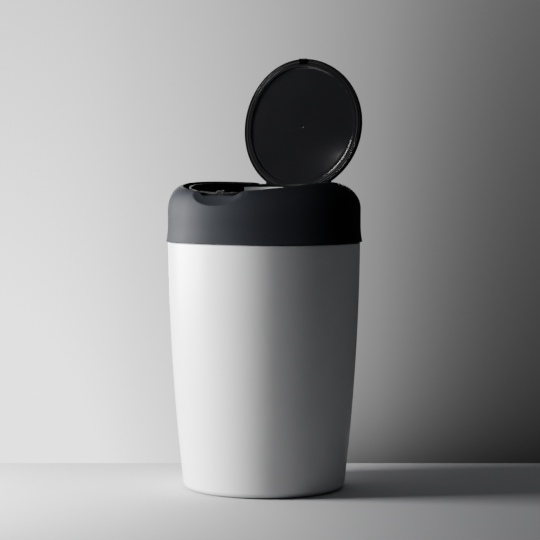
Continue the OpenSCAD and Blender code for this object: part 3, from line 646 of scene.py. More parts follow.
def coverAngles():
    # even rays, with a ray in each corner of the hinge well and closer rays round the scoop
    corner = math.atan2(coverPlan["wellBack"] - mouthPlan["y"], coverPlan["wellHalf"])
    front, counts = coverPlan["frontFrom"], coverPlan["rayCounts"]
    stops = (front - math.pi, -front, corner, math.pi - corner, math.pi + front)
    return np.concatenate(
        [np.linspace(*stops[k : k + 2], count, endpoint=False) for k, count in enumerate(counts)]
    )


def smooth(t):
    # s-curve from 0 to 1 that is level at both ends
    return t * t * (3 - 2 * t)


def softMin(a, b, k):
    # polynomial smooth minimum: the two surfaces meet in a fillet about k wide
    h = np.clip(0.5 + 0.5 * (b - a) / k, 0, 1)
    return b + (a - b) * h - k * h * (1 - h)


def scoopHeight(x, y):
    # lower half of a spindle that lies across the front
    c = coverPlan
    cross = c["scoopCross"]
    sag = cross - np.sqrt(cross**2 - np.minimum(np.abs(x), c["scoopHalf"]) ** 2)
    reach = np.clip(c["scoopRadius"] - sag, 0.1, None) ** 2 - (y - c["scoopY"]) ** 2
    return np.where(reach > 0, c["scoopZ"] - np.sqrt(np.maximum(reach, 0)), farAbove)


def scoopCrease(x):
    # fillet width: sharp on the left, growing with the square of x to the right
    c = coverPlan
    share = np.clip((x - c["creaseFrom"]) / c["creaseSpan"], 0, 1)
    return c["crease"] + (c["creaseRight"] - c["crease"]) * share * share


def coverTop(s, a):
    # height of the cover's rounded top at distance s along ray a: arch, then quarter ellipse
    c = coverPlan
    reach = rayLength(a, c["radius"])
    width = np.minimum(reach - mouthPlan["edge"], c["shoulderWidth"])
    y = mouthPlan["y"] + s * np.sin(a)
    share = np.clip((s - reach + width) / width, 0, 1)
    fall = c["shoulderHeight"] * (1 - np.sqrt(np.maximum(1 - share**2, 0)))
    return archHeight(y) - fall


def findEdge(before, near, far):
    # on every ray at once, halves forty times the span in which before(distance) stops
    # being true
    for halving in range(40):
        middle = (near + far) / 2
        short = before(middle)
        near, far = np.where(short, middle, near), np.where(short, far, middle)
    return near, far


def makeCover():
    # rays from the mouth's middle; each carries one closed profile from the moat's lip,
    # over the rim and shoulder, down the flared wall, and back up inside
    c, m = coverPlan, mouthPlan
    wall, bottom = c["wall"], c["bottom"]
    a = coverAngles()
    sin, cos = np.sin(a), np.cos(a)
    with np.errstate(divide="ignore", invalid="ignore"):
        sideHit = np.where(np.abs(cos) > 1e-6, c["wellHalf"] / np.abs(cos), farOut)
        backHit = np.where(sin > 1e-6, (c["wellBack"] - m["y"]) / sin, farOut)
    well = np.where(sin > 0, np.minimum(sideHit, backHit), 0.0)
    lip = np.maximum(m["moatInner"], well)
    rimIn = np.maximum(m["edge"] - c["lipRound"], lip)
    rimOut = np.maximum(m["edge"], lip)
    reach = rayLength(a, c["radius"])
    width = np.minimum(reach - m["edge"], c["shoulderWidth"])

    def archAt(s):
        return archHeight(m["y"] + s * sin)

    def moatFloor(s):
        return archAt(s) - m["moatDrop"]

    def baseAt(s):
        # moat floor inside the rim, rounded shoulder outside it
        floor, span = moatFloor(s), rimOut - rimIn
        up = np.clip((s - rimIn) / np.maximum(span, 1e-6), 0, 1)
        up = np.where(span < 1e-5, 1.0, up)
        return floor + (coverTop(s, a) - floor) * smooth(up)

    def cutAt(s, sink=0.0):
        # the scoop's surface where it can reach, sunk by a wall for the inside
        x = s * cos
        front = (sin < c["scoopBack"]) & (np.abs(x) < c["scoopHalf"])
        return np.where(front, scoopHeight(x, m["y"] + s * sin) - sink, farAbove)

    def scooped(s, z):
        # heights z with the scoop taken out of them, in a fillet
        return softMin(z, cutAt(s), scoopCrease(s * cos))

    # where the scoop cuts the moat's floor, and where it cuts the shoulder
    offLip, offRim = c["startRoom"]
    scoopStart = findEdge(lambda s: cutAt(s) >= moatFloor(s), lip, rimIn)[1]
    scoopStart = np.maximum(np.clip(scoopStart, lip + offLip, rimIn - offRim), lip)
    offRim, offWall = c["endRoom"]
    farEnd = reach - c["searchRoom"]
    scoopEnd = findEdge(lambda s: cutAt(s) < coverTop(s, a), rimOut, farEnd)[0]
    scoopEnd = np.clip(scoopEnd, rimOut + offRim, reach - offWall)

    rows = []

    def addRow(s, z):
        rows.append(around(s, z, a, m["y"]))

    def topAt(s):
        return scooped(s, baseAt(s))

    def addSpan(start, end, count):
        # rows between two radii, crowded towards both ends
        for t in np.linspace(0, 1, count, endpoint=False):
            s = start + (end - start) * (0.5 - 0.5 * math.cos(math.pi * t))
            addRow(s, topAt(s))

    under = moatFloor(lip) - wall
    addRow(lip, under)
    addRow(lip, (under + topAt(lip)) / 2)
    stops = (lip, scoopStart, rimIn, rimOut, scoopEnd)
    for start, end, count in zip(stops, stops[1:], c["topRows"]):
        addSpan(start, end, count)
    # shoulder below the scoop: even steps of the quarter ellipse's own angle
    startAngle = np.arcsin(np.clip((scoopEnd - reach + width) / width, -1, 1))
    flat = scoopEnd < reach - width
    startAngle = np.where(flat, 0.0, startAngle)
    for t in np.linspace(0, 1, c["flatRows"], endpoint=False):
        s = np.where(flat, scoopEnd + (reach - width - scoopEnd) * t, scoopEnd + 0.02 * t)
        addRow(s, topAt(s))
    for t in np.linspace(0, 1, c["shoulderRows"]):
        angle = startAngle + (math.pi / 2 - startAngle) * (t * (2 - t) * 0.5 + t * 0.5)
        s = reach - width + width * np.sin(angle)
        s = np.where(flat | (angle > startAngle), s, scoopEnd)
        z = archAt(s) - c["shoulderHeight"] * (1 - np.cos(angle))
        addRow(s, scooped(s, z))
    # the wall, its flare, and the skirt's edge, rounded outside and in
    shoulderEnd = archAt(reach) - c["shoulderHeight"]
    flareTop = bottom + c["flare"]
    for t in np.linspace(0, 1, c["wallRows"])[1:]:
        addRow(reach, shoulderEnd + (flareTop - shoulderEnd) * t)
    for t in np.linspace(0, 1, c["flareRows"])[1:]:
        radius = c["radius"] + (c["skirtRadius"] - c["radius"]) * t * t
        addRow(rayLength(a, radius), flareTop + (bottom + c["edgeRound"] - flareTop) * t)
    for angle in np.radians(c["edgeAngles"]):
        radius = c["skirtRadius"] - c["edgeRound"] * (1 - math.cos(angle))
        addRow(rayLength(a, radius), bottom + c["edgeRound"] * (1 - math.sin(angle)))
    inner, edge = c["skirtRadius"] - wall, c["innerEdge"]
    addRow(rayLength(a, inner + edge), bottom)
    addRow(rayLength(a, inner), bottom + edge)
    for t in np.linspace(0, 1, c["skirtRows"])[1:]:
        radius = inner + (c["radius"] - wall - inner) * t
        addRow(rayLength(a, radius), bottom + edge + (c["flare"] - edge) * t)
    # up the inside, one wall below the top and below the scoop
    innerReach = rayLength(a, c["radius"] - wall)
    innerWidth, innerHeight = width - wall, c["shoulderHeight"] - wall
    for t in np.linspace(1, 0, c["ceilingRows"]):
        angle = t * math.pi / 2
        s = innerReach - innerWidth + innerWidth * math.sin(angle)
        z = archAt(s) - wall - innerHeight * (1 - math.cos(angle))
        s = np.maximum(s, lip + c["lipRoom"])
        z = np.minimum(z, cutAt(s, sink=wall))
        addRow(s, z if t > 0 else np.minimum(z, under))
    finish = materials["headCharcoal"]
    cover = gridPiece("headCover", np.stack(rows), finish, "head", closeRows=True, sharpAngle=50)
    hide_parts("head_cover")


makeCover()
print("head cover made")

ridgePlan = {
    "proud": 0.12,
    "depth": 3.2,
    "round": 0.9,
    "bumpWidth": 11.1,
    "bumpFoot": 0.08,  # its ends slope over this share of half its width
    "bumpRise": 2.45,
    "catchClear": (2.2, 3.6),  # its foot is cut short within the first, and whole past the other
    "catchShort": 0.95,
    "segments": 900,
}


def makeRidge():
    # a rounded cap carried round the mouth under the arch; it swells at the catch bump,
    # and there its foot stops short of the hole that takes the catch
    m, p = mouthPlan, ridgePlan
    inner, outer = m["sealInner"] - p["proud"], m["sealInner"] + m["sealWidth"] + p["proud"]
    corners = [
        (inner, -p["depth"], 0),
        (inner, p["proud"], p["round"]),
        (outer, p["proud"], p["round"]),
        (outer, -p["depth"], 0),
    ]
    path = np.vstack([roundedPath(corners, 8), [(inner + outer) / 2, -p["depth"] - 0.01]])
    r, lift = path[:, :1], path[:, 1:]
    a = fullTurn(p["segments"])
    away, front = np.abs(r * np.cos(a)), np.sin(a) < 0
    foot = p["bumpFoot"]
    swell = np.where(front, np.clip(1 + foot - away / (p["bumpWidth"] / 2), 0, foot) / foot, 0)
    swell = smooth(swell) * p["bumpRise"]
    near, far = p["catchClear"]
    clear = np.where(front, np.clip((far - away) / (far - near), 0, 1), 0)
    clear = smooth(clear) * p["catchShort"]
    top = np.clip((lift + p["depth"]) / p["depth"], 0, 1)
    lift = lift * np.where(lift < 0, 1 - clear, 1)
    z = archHeight(m["y"] + r * np.sin(a)) - m["sealDrop"] + lift + swell * top
    grid = around(r, z, a, m["y"])
    ridge = gridPiece("sealRidge", grid, materials["linerBlack"], "head", closeRows=True)


makeRidge()
print("seal ridge made")

lidPlan = {
    "radius": 90.0,
    "thick": 6.7,
    "wall": 2.2,
    "under": -2.2,
    "hingeY": 70.5,
    "hingeZ": 386.7,
    "open": 100.2,  # degrees, as the lid stands at rest
    "segments": 300,
    "rimRound": 2.4,
    "lipRounds": (0.7, 0.6),  # of the rim's lower edge, outside and inside
    "ceilingRound": 0.5,
}
flapPlan = {
    "half": 50.0,
    "front": 40.0,
    "back": 80.0,
    "frontRound": 2.0,
    "backRound": 6.0,
    "sunk": 0.12,  # keeps its top just under the lid's own
    "lap": 0.05,  # between its underside and the lid's ceiling
    "knuckleRadius": 10.5,
    "knuckleRound": 0.8,
    "knuckleFrom": 34.0,
    "knuckleTo": 52.0,
    "bore": 3.05,
    "boreSpare": 1.0,
    "webFront": 64.0,
    "webBack": 78.0,
    "webDeep": 11.6,
    "webInset": 0.3,
    "webInto": 1.0,
}
slotPlan = {
    "half": 6.2,
    "front": -116.0,
    "back": -103.5,
    "deep": 14.0,
    "pinY": -109.9,
    "pinHeight": 0.7,
    "pin": 0.72,
    "pinBeyond": 3.0,
}
undersidePlan = {
    "gap": 0.1,
    "band": 10.0,
    "bandRound": 0.25,
    "bandThick": 3.2,
    "dish": 2.4,
    "dishSlope": 1.6,
    "dishRounds": (1.2, 0.6),
    "dishThick": 1.8,
    "backRise": 4.2,
    "backRound": 0.5,
    "gateRadius": 1.7,
    "gateDeep": 0.5,
    "grooveIn": 83.7,
    "grooveOut": 86.9,
    "grooveDepth": 1.5,
    "edgeRound": 0.3,  # of the groove and the gate
}
gasketPlan = {
    "half": 1.45,
    "crown": 0.5,
    "crownSteps": 12,
    "sink": 0.55,
    "foot": 1.4,
    "gap": 0.2,
}
planStep = 2.0  # longest side of the plan outlines that the lid is carved with


def openLid(points):
    # turns points of the shut lid back about the hinge's axis
    t = math.radians(-lidPlan["open"])
    hingeY, hingeZ = lidPlan["hingeY"], lidPlan["hingeZ"]
    y, z = points[..., 1] - hingeY, points[..., 2] - hingeZ
    backY = hingeY + y * math.cos(t) - z * math.sin(t)
    backZ = hingeZ + y * math.sin(t) + z * math.cos(t)
    return np.stack([points[..., 0], backY, backZ], -1)


def openMesh(mesh):
    # the same turn for every corner of a mesh
    places = np.empty(len(mesh.vertices) * 3)
    mesh.vertices.foreach_get("co", places)
    turned = openLid(places.reshape(-1, 3) / mm) * mm
    mesh.vertices.foreach_set("co", turned.ravel())
    mesh.update()
    return mesh


def lidRing(path, angles):
    # a profile (r, height above the arch) carried round the mouth's middle, lid shut
    y = mouthPlan["y"] + path[:, :1] * np.sin(angles)
    return around(path[:, :1], archHeight(y) + path[:, 1:], angles, mouthPlan["y"])


def lidPlate(corners, arcSteps, longest):
    # a closed mesh from a lid profile's corners (r, height above the arch, radius)
    path = denser(roundedPath(corners, arcSteps), longest)
    return gridMesh("lidPlate", lidRing(path, fullTurn(lidPlan["segments"])))


def planOutline(half, front, back, frontRound=0.0, backRound=0.0, middle=0.0):
    # a rectangle seen from above, its corners rounded and its sides cut into short steps
    left, right = middle - half, middle + half
    corners = [
        (middle, front, 0),
        (right, front, frontRound),
        (right, back, backRound),
        (left, back, backRound),
        (left, front, frontRound),
        (middle, front, 0),
    ]
    return denser(roundedPath(corners), planStep)[:-1]


def archSlab(outline, low, high, rings=12):
    # a plan outline shrunk step by step to its middle, between two heights above the arch
    middle = outline.mean(0)
    shares = np.linspace(0, 1, rings)
    shares = np.concatenate([shares, shares[::-1]])
    heights = np.where(np.arange(2 * rings) < rings, low, high)
    plan = middle + (outline - middle)[None] * shares[:, None, None]
    z = archHeight(plan[..., 1]) + heights[:, None]
    return gridMesh("slab", np.concatenate([plan, z[..., None]], -1))


def barAlongX(radius, xFrom, xTo, y, z, edge=0.0, segments=64):
    # a round bar parallel to the hinge, its ends rounded off
    corners = [(0, xFrom, 0), (radius, xFrom, edge), (radius, xTo, edge), (0, xTo, 0)]
    path = roundedPath(corners, 4)
    a, r = fullTurn(segments), path[:, :1]
    grid = np.stack([path[:, 1:] + 0 * a, y + r * np.cos(a), z + r * np.sin(a)], -1)
    return gridMesh("bar", grid)


def slotCutter(ceiling):
    # the slot at the lid's front edge, up to a height above the arch
    c = slotPlan
    return archSlab(planOutline(c["half"], c["front"], c["back"]), -c["deep"], ceiling)


def makeLidShell():
    # skin and outer wall in one profile, then flap, knuckles and webs joined on, and
    # slot, pin bore and hinge bores cut
    p, f, c = lidPlan, flapPlan, slotPlan
    rim, wall, under = p["radius"], p["wall"], p["under"]
    top = under + p["thick"]
    ceiling = top - wall
    corners = [
        (0, top, 0),
        (rim, top, p["rimRound"]),
        (rim, under, p["lipRounds"][0]),
        (rim - wall, under, p["lipRounds"][1]),
        (rim - wall, ceiling, p["ceilingRound"]),
        (0, ceiling, 0),
    ]
    skin = lidPlate(corners, arcSteps=8, longest=6)
    flap = planOutline(f["half"], f["front"], f["back"], f["frontRound"], f["backRound"])
    tools = [("UNION", archSlab(flap, ceiling + f["lap"], top - f["sunk"]))]
    hinge = (p["hingeY"], p["hingeZ"])
    webHalf = (f["half"] - f["knuckleFrom"]) / 2
    for side in (-1, 1):
        ends = sorted((side * f["knuckleFrom"], side * f["knuckleTo"]))
        tools.append(("UNION", barAlongX(f["knuckleRadius"], *ends, *hinge, f["knuckleRound"])))
        webMiddle = side * (f["knuckleFrom"] + webHalf)
        web = planOutline(webHalf - f["webInset"], f["webFront"], f["webBack"], middle=webMiddle)
        tools.append(("UNION", archSlab(web, -f["webDeep"], ceiling + f["webInto"], rings=6)))
    spare = f["boreSpare"]
    for side in (-1, 1):
        ends = sorted((side * (f["knuckleFrom"] - spare), side * (f["knuckleTo"] + spare)))
        tools.append(("DIFFERENCE", barAlongX(f["bore"], *ends, *hinge, segments=48)))
    tools.append(("DIFFERENCE", slotCutter(ceiling)))
    pinZ = float(archHeight(c["pinY"])) + c["pinHeight"]
    pinEnd = c["half"] + c["pinBeyond"]
    pinBore = barAlongX(c["pin"], -pinEnd, pinEnd, c["pinY"], pinZ, segments=24)
    tools.append(("DIFFERENCE", pinBore))
    shell = openMesh(carve(skin, tools))
    piece = placePiece("lidShell", shell, materials["headCharcoal"], "lid", sharpAngle=40)
    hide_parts("lid_shell")


def makeLidUnderside():
    # band, gasket groove and shallow dish, with the small dimple where the plastic went in
    p, u = lidPlan, undersidePlan
    under, gate, grooveTop = p["under"], u["gateRadius"], p["under"] + u["grooveDepth"]
    bandOut = p["radius"] - p["wall"] - u["gap"]
    dish, floor = p["radius"] - u["band"], under + u["dish"]
    floorRound, lipRound = u["dishRounds"]
    edge, deep = u["edgeRound"], u["gateDeep"]
    corners = [
        (0, floor + deep, 0),
        (gate - deep, floor + deep, edge),
        (gate, floor, edge),
        (dish - u["dishSlope"], floor, floorRound),
        (dish, under, lipRound),
        (u["grooveIn"], under, edge),
        (u["grooveIn"], grooveTop, edge),
        (u["grooveOut"], grooveTop, edge),
        (u["grooveOut"], under, u["bandRound"]),
        (bandOut, under, u["bandRound"]),
        (bandOut, under + u["bandThick"], 0),
        (dish - u["dishThick"], under + u["backRise"], u["backRound"]),
        (0, floor + u["dishThick"], 0),
    ]
    slot = slotCutter(under + p["thick"] - p["wall"])
    plate = lidPlate(corners, arcSteps=5, longest=5)
    plate = openMesh(carve(plate, [("DIFFERENCE", slot)]))
    piece = placePiece("lidUnderside", plate, materials["lidGloss"], "lid", sharpAngle=40)
    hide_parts("lid_liner")


def makeGasket():
    # a bead of rubber in the groove, round crown and flat foot, cut short at the front slot
    g, u = gasketPlan, undersidePlan
    under, count = lidPlan["under"], lidPlan["segments"]
    middle = (u["grooveIn"] + u["grooveOut"]) / 2
    swing = np.linspace(0, math.pi, g["crownSteps"])
    crown = under + g["sink"] - g["crown"] * np.sin(swing)
    crown = np.stack([middle + g["half"] * np.cos(swing), crown], -1)
    foot = [[middle + side * g["half"], under + g["foot"]] for side in (-1, 1)]
    path = np.vstack([crown, foot])
    away = math.asin((slotPlan["half"] + g["gap"]) / u["grooveIn"])
    angles = np.linspace(-math.pi / 2 + away, 3 * math.pi / 2 - away, count)
    faces = gridFaces(len(path), count, closeRows=True, closeColumns=False).tolist()
    first = [row * count for row in range(len(path))]
    faces += [first, [corner + count - 1 for corner in first]]
    bead = openMesh(meshFrom("bead", lidRing(path, angles), faces))
    piece = placePiece("lidGasketBead", bead, materials["sealRubber"], "lid", sharpAngle=50)
    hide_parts("lid_gasket")


makeLidShell()
makeLidUnderside()
makeGasket()
print("lid made")

filmPlan = {
    # r and z down the film's way: out of the cassette, over its lip, down the sleeve, to the knot
    "way": [
        (66.2, 343.6, 0),
        (66.2, 349.6, 1.6),
        (53.2, 349.8, 2.0),
        (51.3, 312.0, 9.0),
        (29.6, 284.4, 9.0),
        (7.0, 256.5, 5.0),
        (6.4, 250.0, 1.5),
        (7.3, 241.7, 0),
    ],
    "tubeRadius": 66.2,  # the film tube's own, before it is gathered
    "pleats": 36,
    "segments": 432,
    "step": 1.6,
    "fullness": 1.4,  # how much deeper the folds are than the formula's own
    "shallowest": 0.0004,  # the least that spare width squared counts for
    "deepest": 0.46,  # share of the radius that a fold may take
    # waves of (count round the tube, phase, size)
    "lean": [(3, 1.0, 0.05)],
    "leanDown": (7, 0.08, 0.03),  # the phase is for each millimetre of height
    "uneven": [(5, 2.0, 0.25), (11, 0.5, 0.15)],
    "sag": [(9, 1.3, 0.5)],
    "sagFrom": 330.0,
    "sagSpan": 60.0,
}


def waves(a, rows):
    # sum of size * sin(count * a + phase)
    return sum(size * np.sin(count * a + phase) for count, phase, size in rows)


def makeFilmSleeve():
    # a tube whose pleats take up its spare width: r falls by A (1 - cos(n a)), with A chosen
    # so that the way round each level stays the film's own circumference
    p = filmPlan
    path = denser(roundedPath(p["way"]), p["step"])
    radius, height = path[:, :1], path[:, 1:]
    a = fullTurn(p["segments"])
    count, drift, size = p["leanDown"]
    wander = a + waves(a, p["lean"]) + size * np.sin(count * a + height * drift)
    uneven = 1 + waves(a, p["uneven"])
    tallest = 1 + sum(size for count, phase, size in p["uneven"])
    wave = (1 - np.cos(p["pleats"] * wander)) / 2 * uneven / tallest
    spare = p["tubeRadius"] / radius
    steep = np.sqrt(np.maximum(spare**2 - 1, p["shallowest"])) * p["fullness"]
    deep = np.minimum(steep * radius * 2 / p["pleats"], p["deepest"] * 2 * radius)
    sag = waves(a, p["sag"]) * np.clip((p["sagFrom"] - height) / p["sagSpan"], 0, 1)
    grid = around(radius - deep * wave, height + sag, a)
    sleeve = gridPiece("filmSleeve", grid, materials["filmMilky"], "cassette")
    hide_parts("film_sleeve")


packPlan = {
    "inner": 65.3,
    "outer": 87.3,
    "floor": 302.7,
    "top": 343.5,
    "pleats": 14,
    "segments": 300,
    "step": 0.55,
    "lean": [(3, 0.4, 1.1), (8, 0.0, 0.7)],
    "fold": 0.45,
    "foldRipple": (31, 0.12),  # count round the ring and size, here and for the crown
    "foldSkin": 6,  # the folds keep to this part of half the ring's width
    "crown": 0.35,
    "crownWave": 3.4,
    "crownLean": (4, 1.5),
    "crownRipple": (23, 0.2),
    "crownDeep": 2.0,
}


def makeFilmPack():
    # concertina of film pressed into the cassette: a box-section ring whose outside, inside
    # and top are rippled by sines that wander with the angle
    p = packPlan
    inner, outer, floor, top = p["inner"], p["outer"], p["floor"], p["top"]
    corners = [
        (inner, floor, 0),
        (outer, floor, 0.6),
        (outer, top, 1.2),
        (inner, top, 1.2),
        (inner, floor, 0),
    ]
    path = denser(roundedPath(corners), p["step"])[:-1]
    a = fullTurn(p["segments"])
    r, z = path[:, :1] + 0 * a, path[:, 1:] + 0 * a
    level = 2 * math.pi * (z - floor) * p["pleats"] / (top - floor) + waves(a, p["lean"])
    middle, skin, deep = (inner + outer) / 2, p["foldSkin"], p["crownDeep"]
    edge = np.clip(np.abs(r - middle) / (middle - inner) * skin - (skin - 1), 0, 1)
    side = np.sign(r - middle) * edge
    upper = np.clip((z - top + deep) / deep, 0, 1)
    count, size = p["foldRipple"]
    fold = p["fold"] * (1 - np.cos(level)) + size * (1 + np.sin(count * a + z))
    count, size = p["crownLean"]
    rings = p["crown"] * (1 + np.sin(r * p["crownWave"] + size * np.sin(count * a)))
    count, size = p["crownRipple"]
    crown = rings + size * (1 + np.sin(count * a + r))
    grid = around(r - side * fold, z - upper * crown, a)
    pack = gridPiece("filmPack", grid, materials["filmMilky"], "cassette", closeRows=True)
    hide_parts("film_pack")


makeFilmSleeve()
makeFilmPack()
print("film made")

studioPlan = {
    # metres, with x to the camera's right and y away from it
    "floorRadius": 4.0,
    "floorSides": 96,
    "floorTone": (0.75, 0.75, 0.76),
    # the floor's painted shade, reached on the right
    "floorPaintedShadeTone": (0.4, 0.4, 0.41),
    "floorPaintedShadeFade": (1.6, 0.45),  # painted shade: growth for each metre to the right, and the share at x = 0
    "bounceTone": (0.25, 0.25, 0.25),  # what the floor gives back to the bin
    "wallBehind": 0.2,
    "wallHalf": 5.0,
    "wallHeight": 4.0,
    "wallReach": 0.4,  # the wall's stops run from this far left to this far right
    "wallStops": [(0.0, 1.3), (0.27, 0.95), (0.7, -1.85), (1.0, -4.1)],  # painted light in doublings
    "wallRange": (-6.0, 8.0),  # lowest doubling that the ramp can hold, and its span
    "wallPivot": -1.3,  # the painted light that stays the same at every height
    "wallMiddle": 0.315,  # height at which the stops hold as they are
    "wallCalm": 0.85,  # how much flatter the fade gets, for each metre up
    "wallFlattest": 0.4,
    "wallBrightest": 1.4,
    "wallShade": 1.5,  # painted shadow: doublings lost at the foot, on the right
    "wallShadeHeight": 0.06,
    "wallShadeSide": (-0.02, 7.0),  # where it starts, and its growth for each metre
    "wallFar": (0.5, 1.1),  # further out than this the painted fade gives way to an even grey
    "wallFarLight": -1.3,
    "worldColour": (0.85, 0.88, 0.95),
    "worldStrength": 0.06,
    "worldSeen": 0.25,
}


def newPaper(name):
    # an empty material with its coordinates turned to the camera's side of the bin
    paper = bpy.data.materials.new(name)
    paper.use_nodes = True
    tree = paper.node_tree
    tree.nodes.clear()
    place = addNode(tree, "TexCoord").outputs["Object"]
    rotation = (0, 0, -math.radians(cameraPlan["azimuth"]))
    turned = addNode(tree, "Mapping", {"Vector": place, "Rotation": rotation}).outputs[0]
    return paper, tree, addNode(tree, "SeparateXYZ", {0: turned}).outputs


def mixShaders(tree, output, share, first, second):
    # share 0 shows the first shader, share 1 the second
    mixed = addNode(tree, "MixShader", {0: share, 1: first.outputs[0], 2: second.outputs[0]})
    tree.links.new(mixed.outputs[0], output.inputs[0])


def floorPaper():
    # matt pale paper with painted shade that greys it to the right, and little of its light
    # thrown back on the bin
    p = studioPlan
    paper, tree, place = newPaper("floorPaper")
    growth, middle = p["floorPaintedShadeFade"]
    share = mathNode(tree, "MULTIPLY", place["X"], growth)
    share = mathNode(tree, "ADD", share, middle, clamp=True)
    # painted shade: the paper's tone darkens to the right
    tone = rampNode(tree, share, [(0, p["floorTone"]), (1, p["floorPaintedShadeTone"])], "EASE")
    pale = addNode(tree, "BsdfDiffuse", {"Color": tone})
    dim = addNode(tree, "BsdfDiffuse", {"Color": (*p["bounceTone"], 1)})
    seen = addNode(tree, "LightPath").outputs["Is Camera Ray"]
    mixShaders(tree, addNode(tree, "OutputMaterial"), seen, dim, pale)
    return paper


def wallPaintedLight():
    # lit by itself as painted light, at 2 to the power e: e falls from left to right as painted
    # falloff, falls faster low down as painted shade, drops again at the foot on the right as
    # painted shadow, and is even far out; the wall's back is clear
    p = studioPlan
    paper, tree, place = newPaper("wallPaintedLight")
    x, z = place["X"], place["Z"]

    def calc(operation, first, second=None, clamp=False):
        return mathNode(tree, operation, first, second, clamp)

    share = calc("ADD", calc("MULTIPLY", x, 0.5 / p["wallReach"]), 0.5, clamp=True)
    lowest, span = p["wallRange"]
    pivot = p["wallPivot"]
    stops = [(at, [(light - lowest) / span] * 3) for at, light in p["wallStops"]]
    # painted falloff: the glow fades from left to right
    fade = calc("MULTIPLY", rampNode(tree, share, stops, "B_SPLINE"), span)
    up = calc("MULTIPLY", calc("SUBTRACT", z, p["wallMiddle"]), -p["wallCalm"])
    flatter = calc("MAXIMUM", calc("ADD", up, 1.0), p["wallFlattest"])
    fade = calc("ADD", calc("MULTIPLY", calc("ADD", fade, lowest - pivot), flatter), pivot)
    # painted shadow, darkest at the wall's foot on the right
    low = calc("POWER", math.e, calc("MULTIPLY", z, -1 / p["wallShadeHeight"]))
    start, growth = p["wallShadeSide"]
    right = calc("MULTIPLY", calc("SUBTRACT", x, start), growth, clamp=True)
    shade = calc("MULTIPLY", calc("MULTIPLY", low, right), p["wallShade"])
    fade = calc("SUBTRACT", calc("MINIMUM", fade, p["wallBrightest"]), shade)
    near, far = p["wallFar"]
    out = calc("SUBTRACT", calc("ABSOLUTE", x), near)
    out = calc("MULTIPLY", out, 1 / (far - near), clamp=True)
    change = calc("MULTIPLY", calc("SUBTRACT", p["wallFarLight"], fade), out)
    light = calc("POWER", 2.0, calc("ADD", fade, change))
    # the wall glows with painted light; it is no lamp
    glow = addNode(tree, "Emission", {"Color": light})
    back = addNode(tree, "NewGeometry").outputs["Backfacing"]
    output = addNode(tree, "OutputMaterial")
    mixShaders(tree, output, back, glow, addNode(tree, "BsdfTransparent"))
    return paper


def stagePanel(name, corners, paper):
    # one flat face, turned to the camera's side of the bin
    turn = Matrix.Rotation(math.radians(cameraPlan["azimuth"]), 4, "Z")
    mesh = bpy.data.meshes.new(name)
    places = [turn @ Vector(corner) for corner in corners]
    mesh.from_pydata(places, [], [list(range(len(corners)))])
    mesh.materials.append(paper)
    panel = addObject(name, mesh)
    return panel


def makeStudio():
    # a round floor with painted shade to the right, and a wall of painted light and shadow behind
    # it that gives the bin no light, shadow or reflection
    p = studioPlan
    radius, half, height = p["floorRadius"], p["wallHalf"], p["wallHeight"]
    rays = [2 * math.pi * k / p["floorSides"] for k in range(p["floorSides"])]
    edge = [(radius * math.cos(a), radius * math.sin(a), 0) for a in rays]
    stagePanel("studioFloor", edge, floorPaper())
    plan = ((-half, 0), (half, 0), (half, height), (-half, height))
    wall = stagePanel("studioWall", [(x, p["wallBehind"], z) for x, z in plan], wallPaintedLight())
    wall.visible_shadow = False
    wall.visible_diffuse = False
    wall.visible_glossy = False


def makeWorld():
    # dim light from all round; what the camera sees of it is a mid grey
    p = studioPlan
    world = bpy.data.worlds.new("studioWorld")
    bpy.context.scene.world = world
    world.use_nodes = True
    tree = world.node_tree
    glow = tree.nodes["Background"]
    glow.inputs[0].default_value = (*p["worldColour"], 1)
    glow.inputs[1].default_value = p["worldStrength"]
    plain = addNode(tree, "Background", {0: (*p["worldColour"], 1), 1: p["worldSeen"]})
    seen = addNode(tree, "LightPath").outputs["Is Camera Ray"]
    mixShaders(tree, tree.nodes["World Output"], seen, glow, plain)


lampAim = (0, 0, 0.3)  # the height of the bin's middle


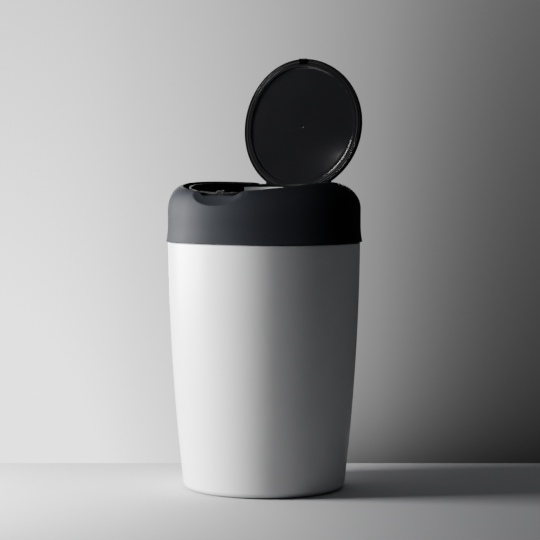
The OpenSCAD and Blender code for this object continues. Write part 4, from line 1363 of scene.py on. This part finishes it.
def makeLight(name, plan):
    # an area lamp at an azimuth and elevation from the camera's side, aimed at a point; it
    # lights only the pieces it names, or all but the floor and those it passes by
    data = bpy.data.lights.new(name, "AREA")
    data.shape = "RECTANGLE"
    data.size, data.size_y = plan["size"]
    data.energy = plan["watts"]
    lamp = addObject(name, data)
    turn = Matrix.Rotation(math.radians(cameraPlan["azimuth"]), 3, "Z")
    azimuth, elevation, distance = plan["place"]
    a, e = math.radians(azimuth), math.radians(elevation)
    away = Vector((math.sin(a) * math.cos(e), -math.cos(a) * math.cos(e), math.sin(e)))
    aim = Vector(plan.get("aim", lampAim))
    lamp.location = turn @ (aim + away * distance)
    lamp.rotation_euler = (turn @ -away).to_track_quat("-Z", "Y").to_euler()
    reach = bpy.data.collections.new(name + "Reach")
    for piece in plan.get("only") or ["studioFloor", *plan.get("passes", [])]:
        reach.objects.link(bpy.data.objects[piece])
    for link in reach.collection_objects:
        link.light_linking.link_state = "INCLUDE" if "only" in plan else "EXCLUDE"
    lamp.light_linking.receiver_collection = reach


lidPieces = ["lidShell", "lidUnderside", "lidGasketBead", "lid_catch"]
lightPlans = {
    # place is azimuth from the camera's own, elevation, and distance from the aim
    "softboxLeft": {
        "place": (-101, 6, 1.8),
        "size": (1.6, 0.8),
        "watts": 255,
        "passes": lidPieces,
    },
    "softboxFrontLeft": {
        "place": (-60, 12, 1.8),
        "size": (0.7, 0.7),
        "watts": 9,
        "passes": lidPieces,
    },
    "headLamp": {"place": (-45, 12, 1.8), "size": (0.7, 0.7), "watts": 50, "only": ["headCover"]},
    "softboxBack": {"place": (185, 8, 1.8), "size": (0.9, 0.9), "watts": 30},
    "lidLamp": {"place": (-95, 32, 1.8), "size": (0.6, 0.5), "watts": 28, "only": lidPieces},
    "lidGlow": {
        "place": (-60.2, 26.8, 1.8),
        "size": (0.08, 0.2),
        "watts": 0.12,
        "only": lidPieces,
    },
    "floorFill": {
        "place": (180, 70, 3.0),
        "size": (2.5, 2.5),
        "watts": 9,
        "aim": (0, 0, 0),
        "only": ["studioFloor"],
    },
    "floorLamp": {
        "place": (-80, 17, 0.8),
        "size": (0.3, 0.2),
        "watts": 25,
        "aim": (-0.1, 0, 0),
        "only": ["studioFloor"],
    },
}

makeStudio()
makeWorld()
for lightName, lightPlan in lightPlans.items():
    makeLight(lightName, lightPlan)
print("studio lit")
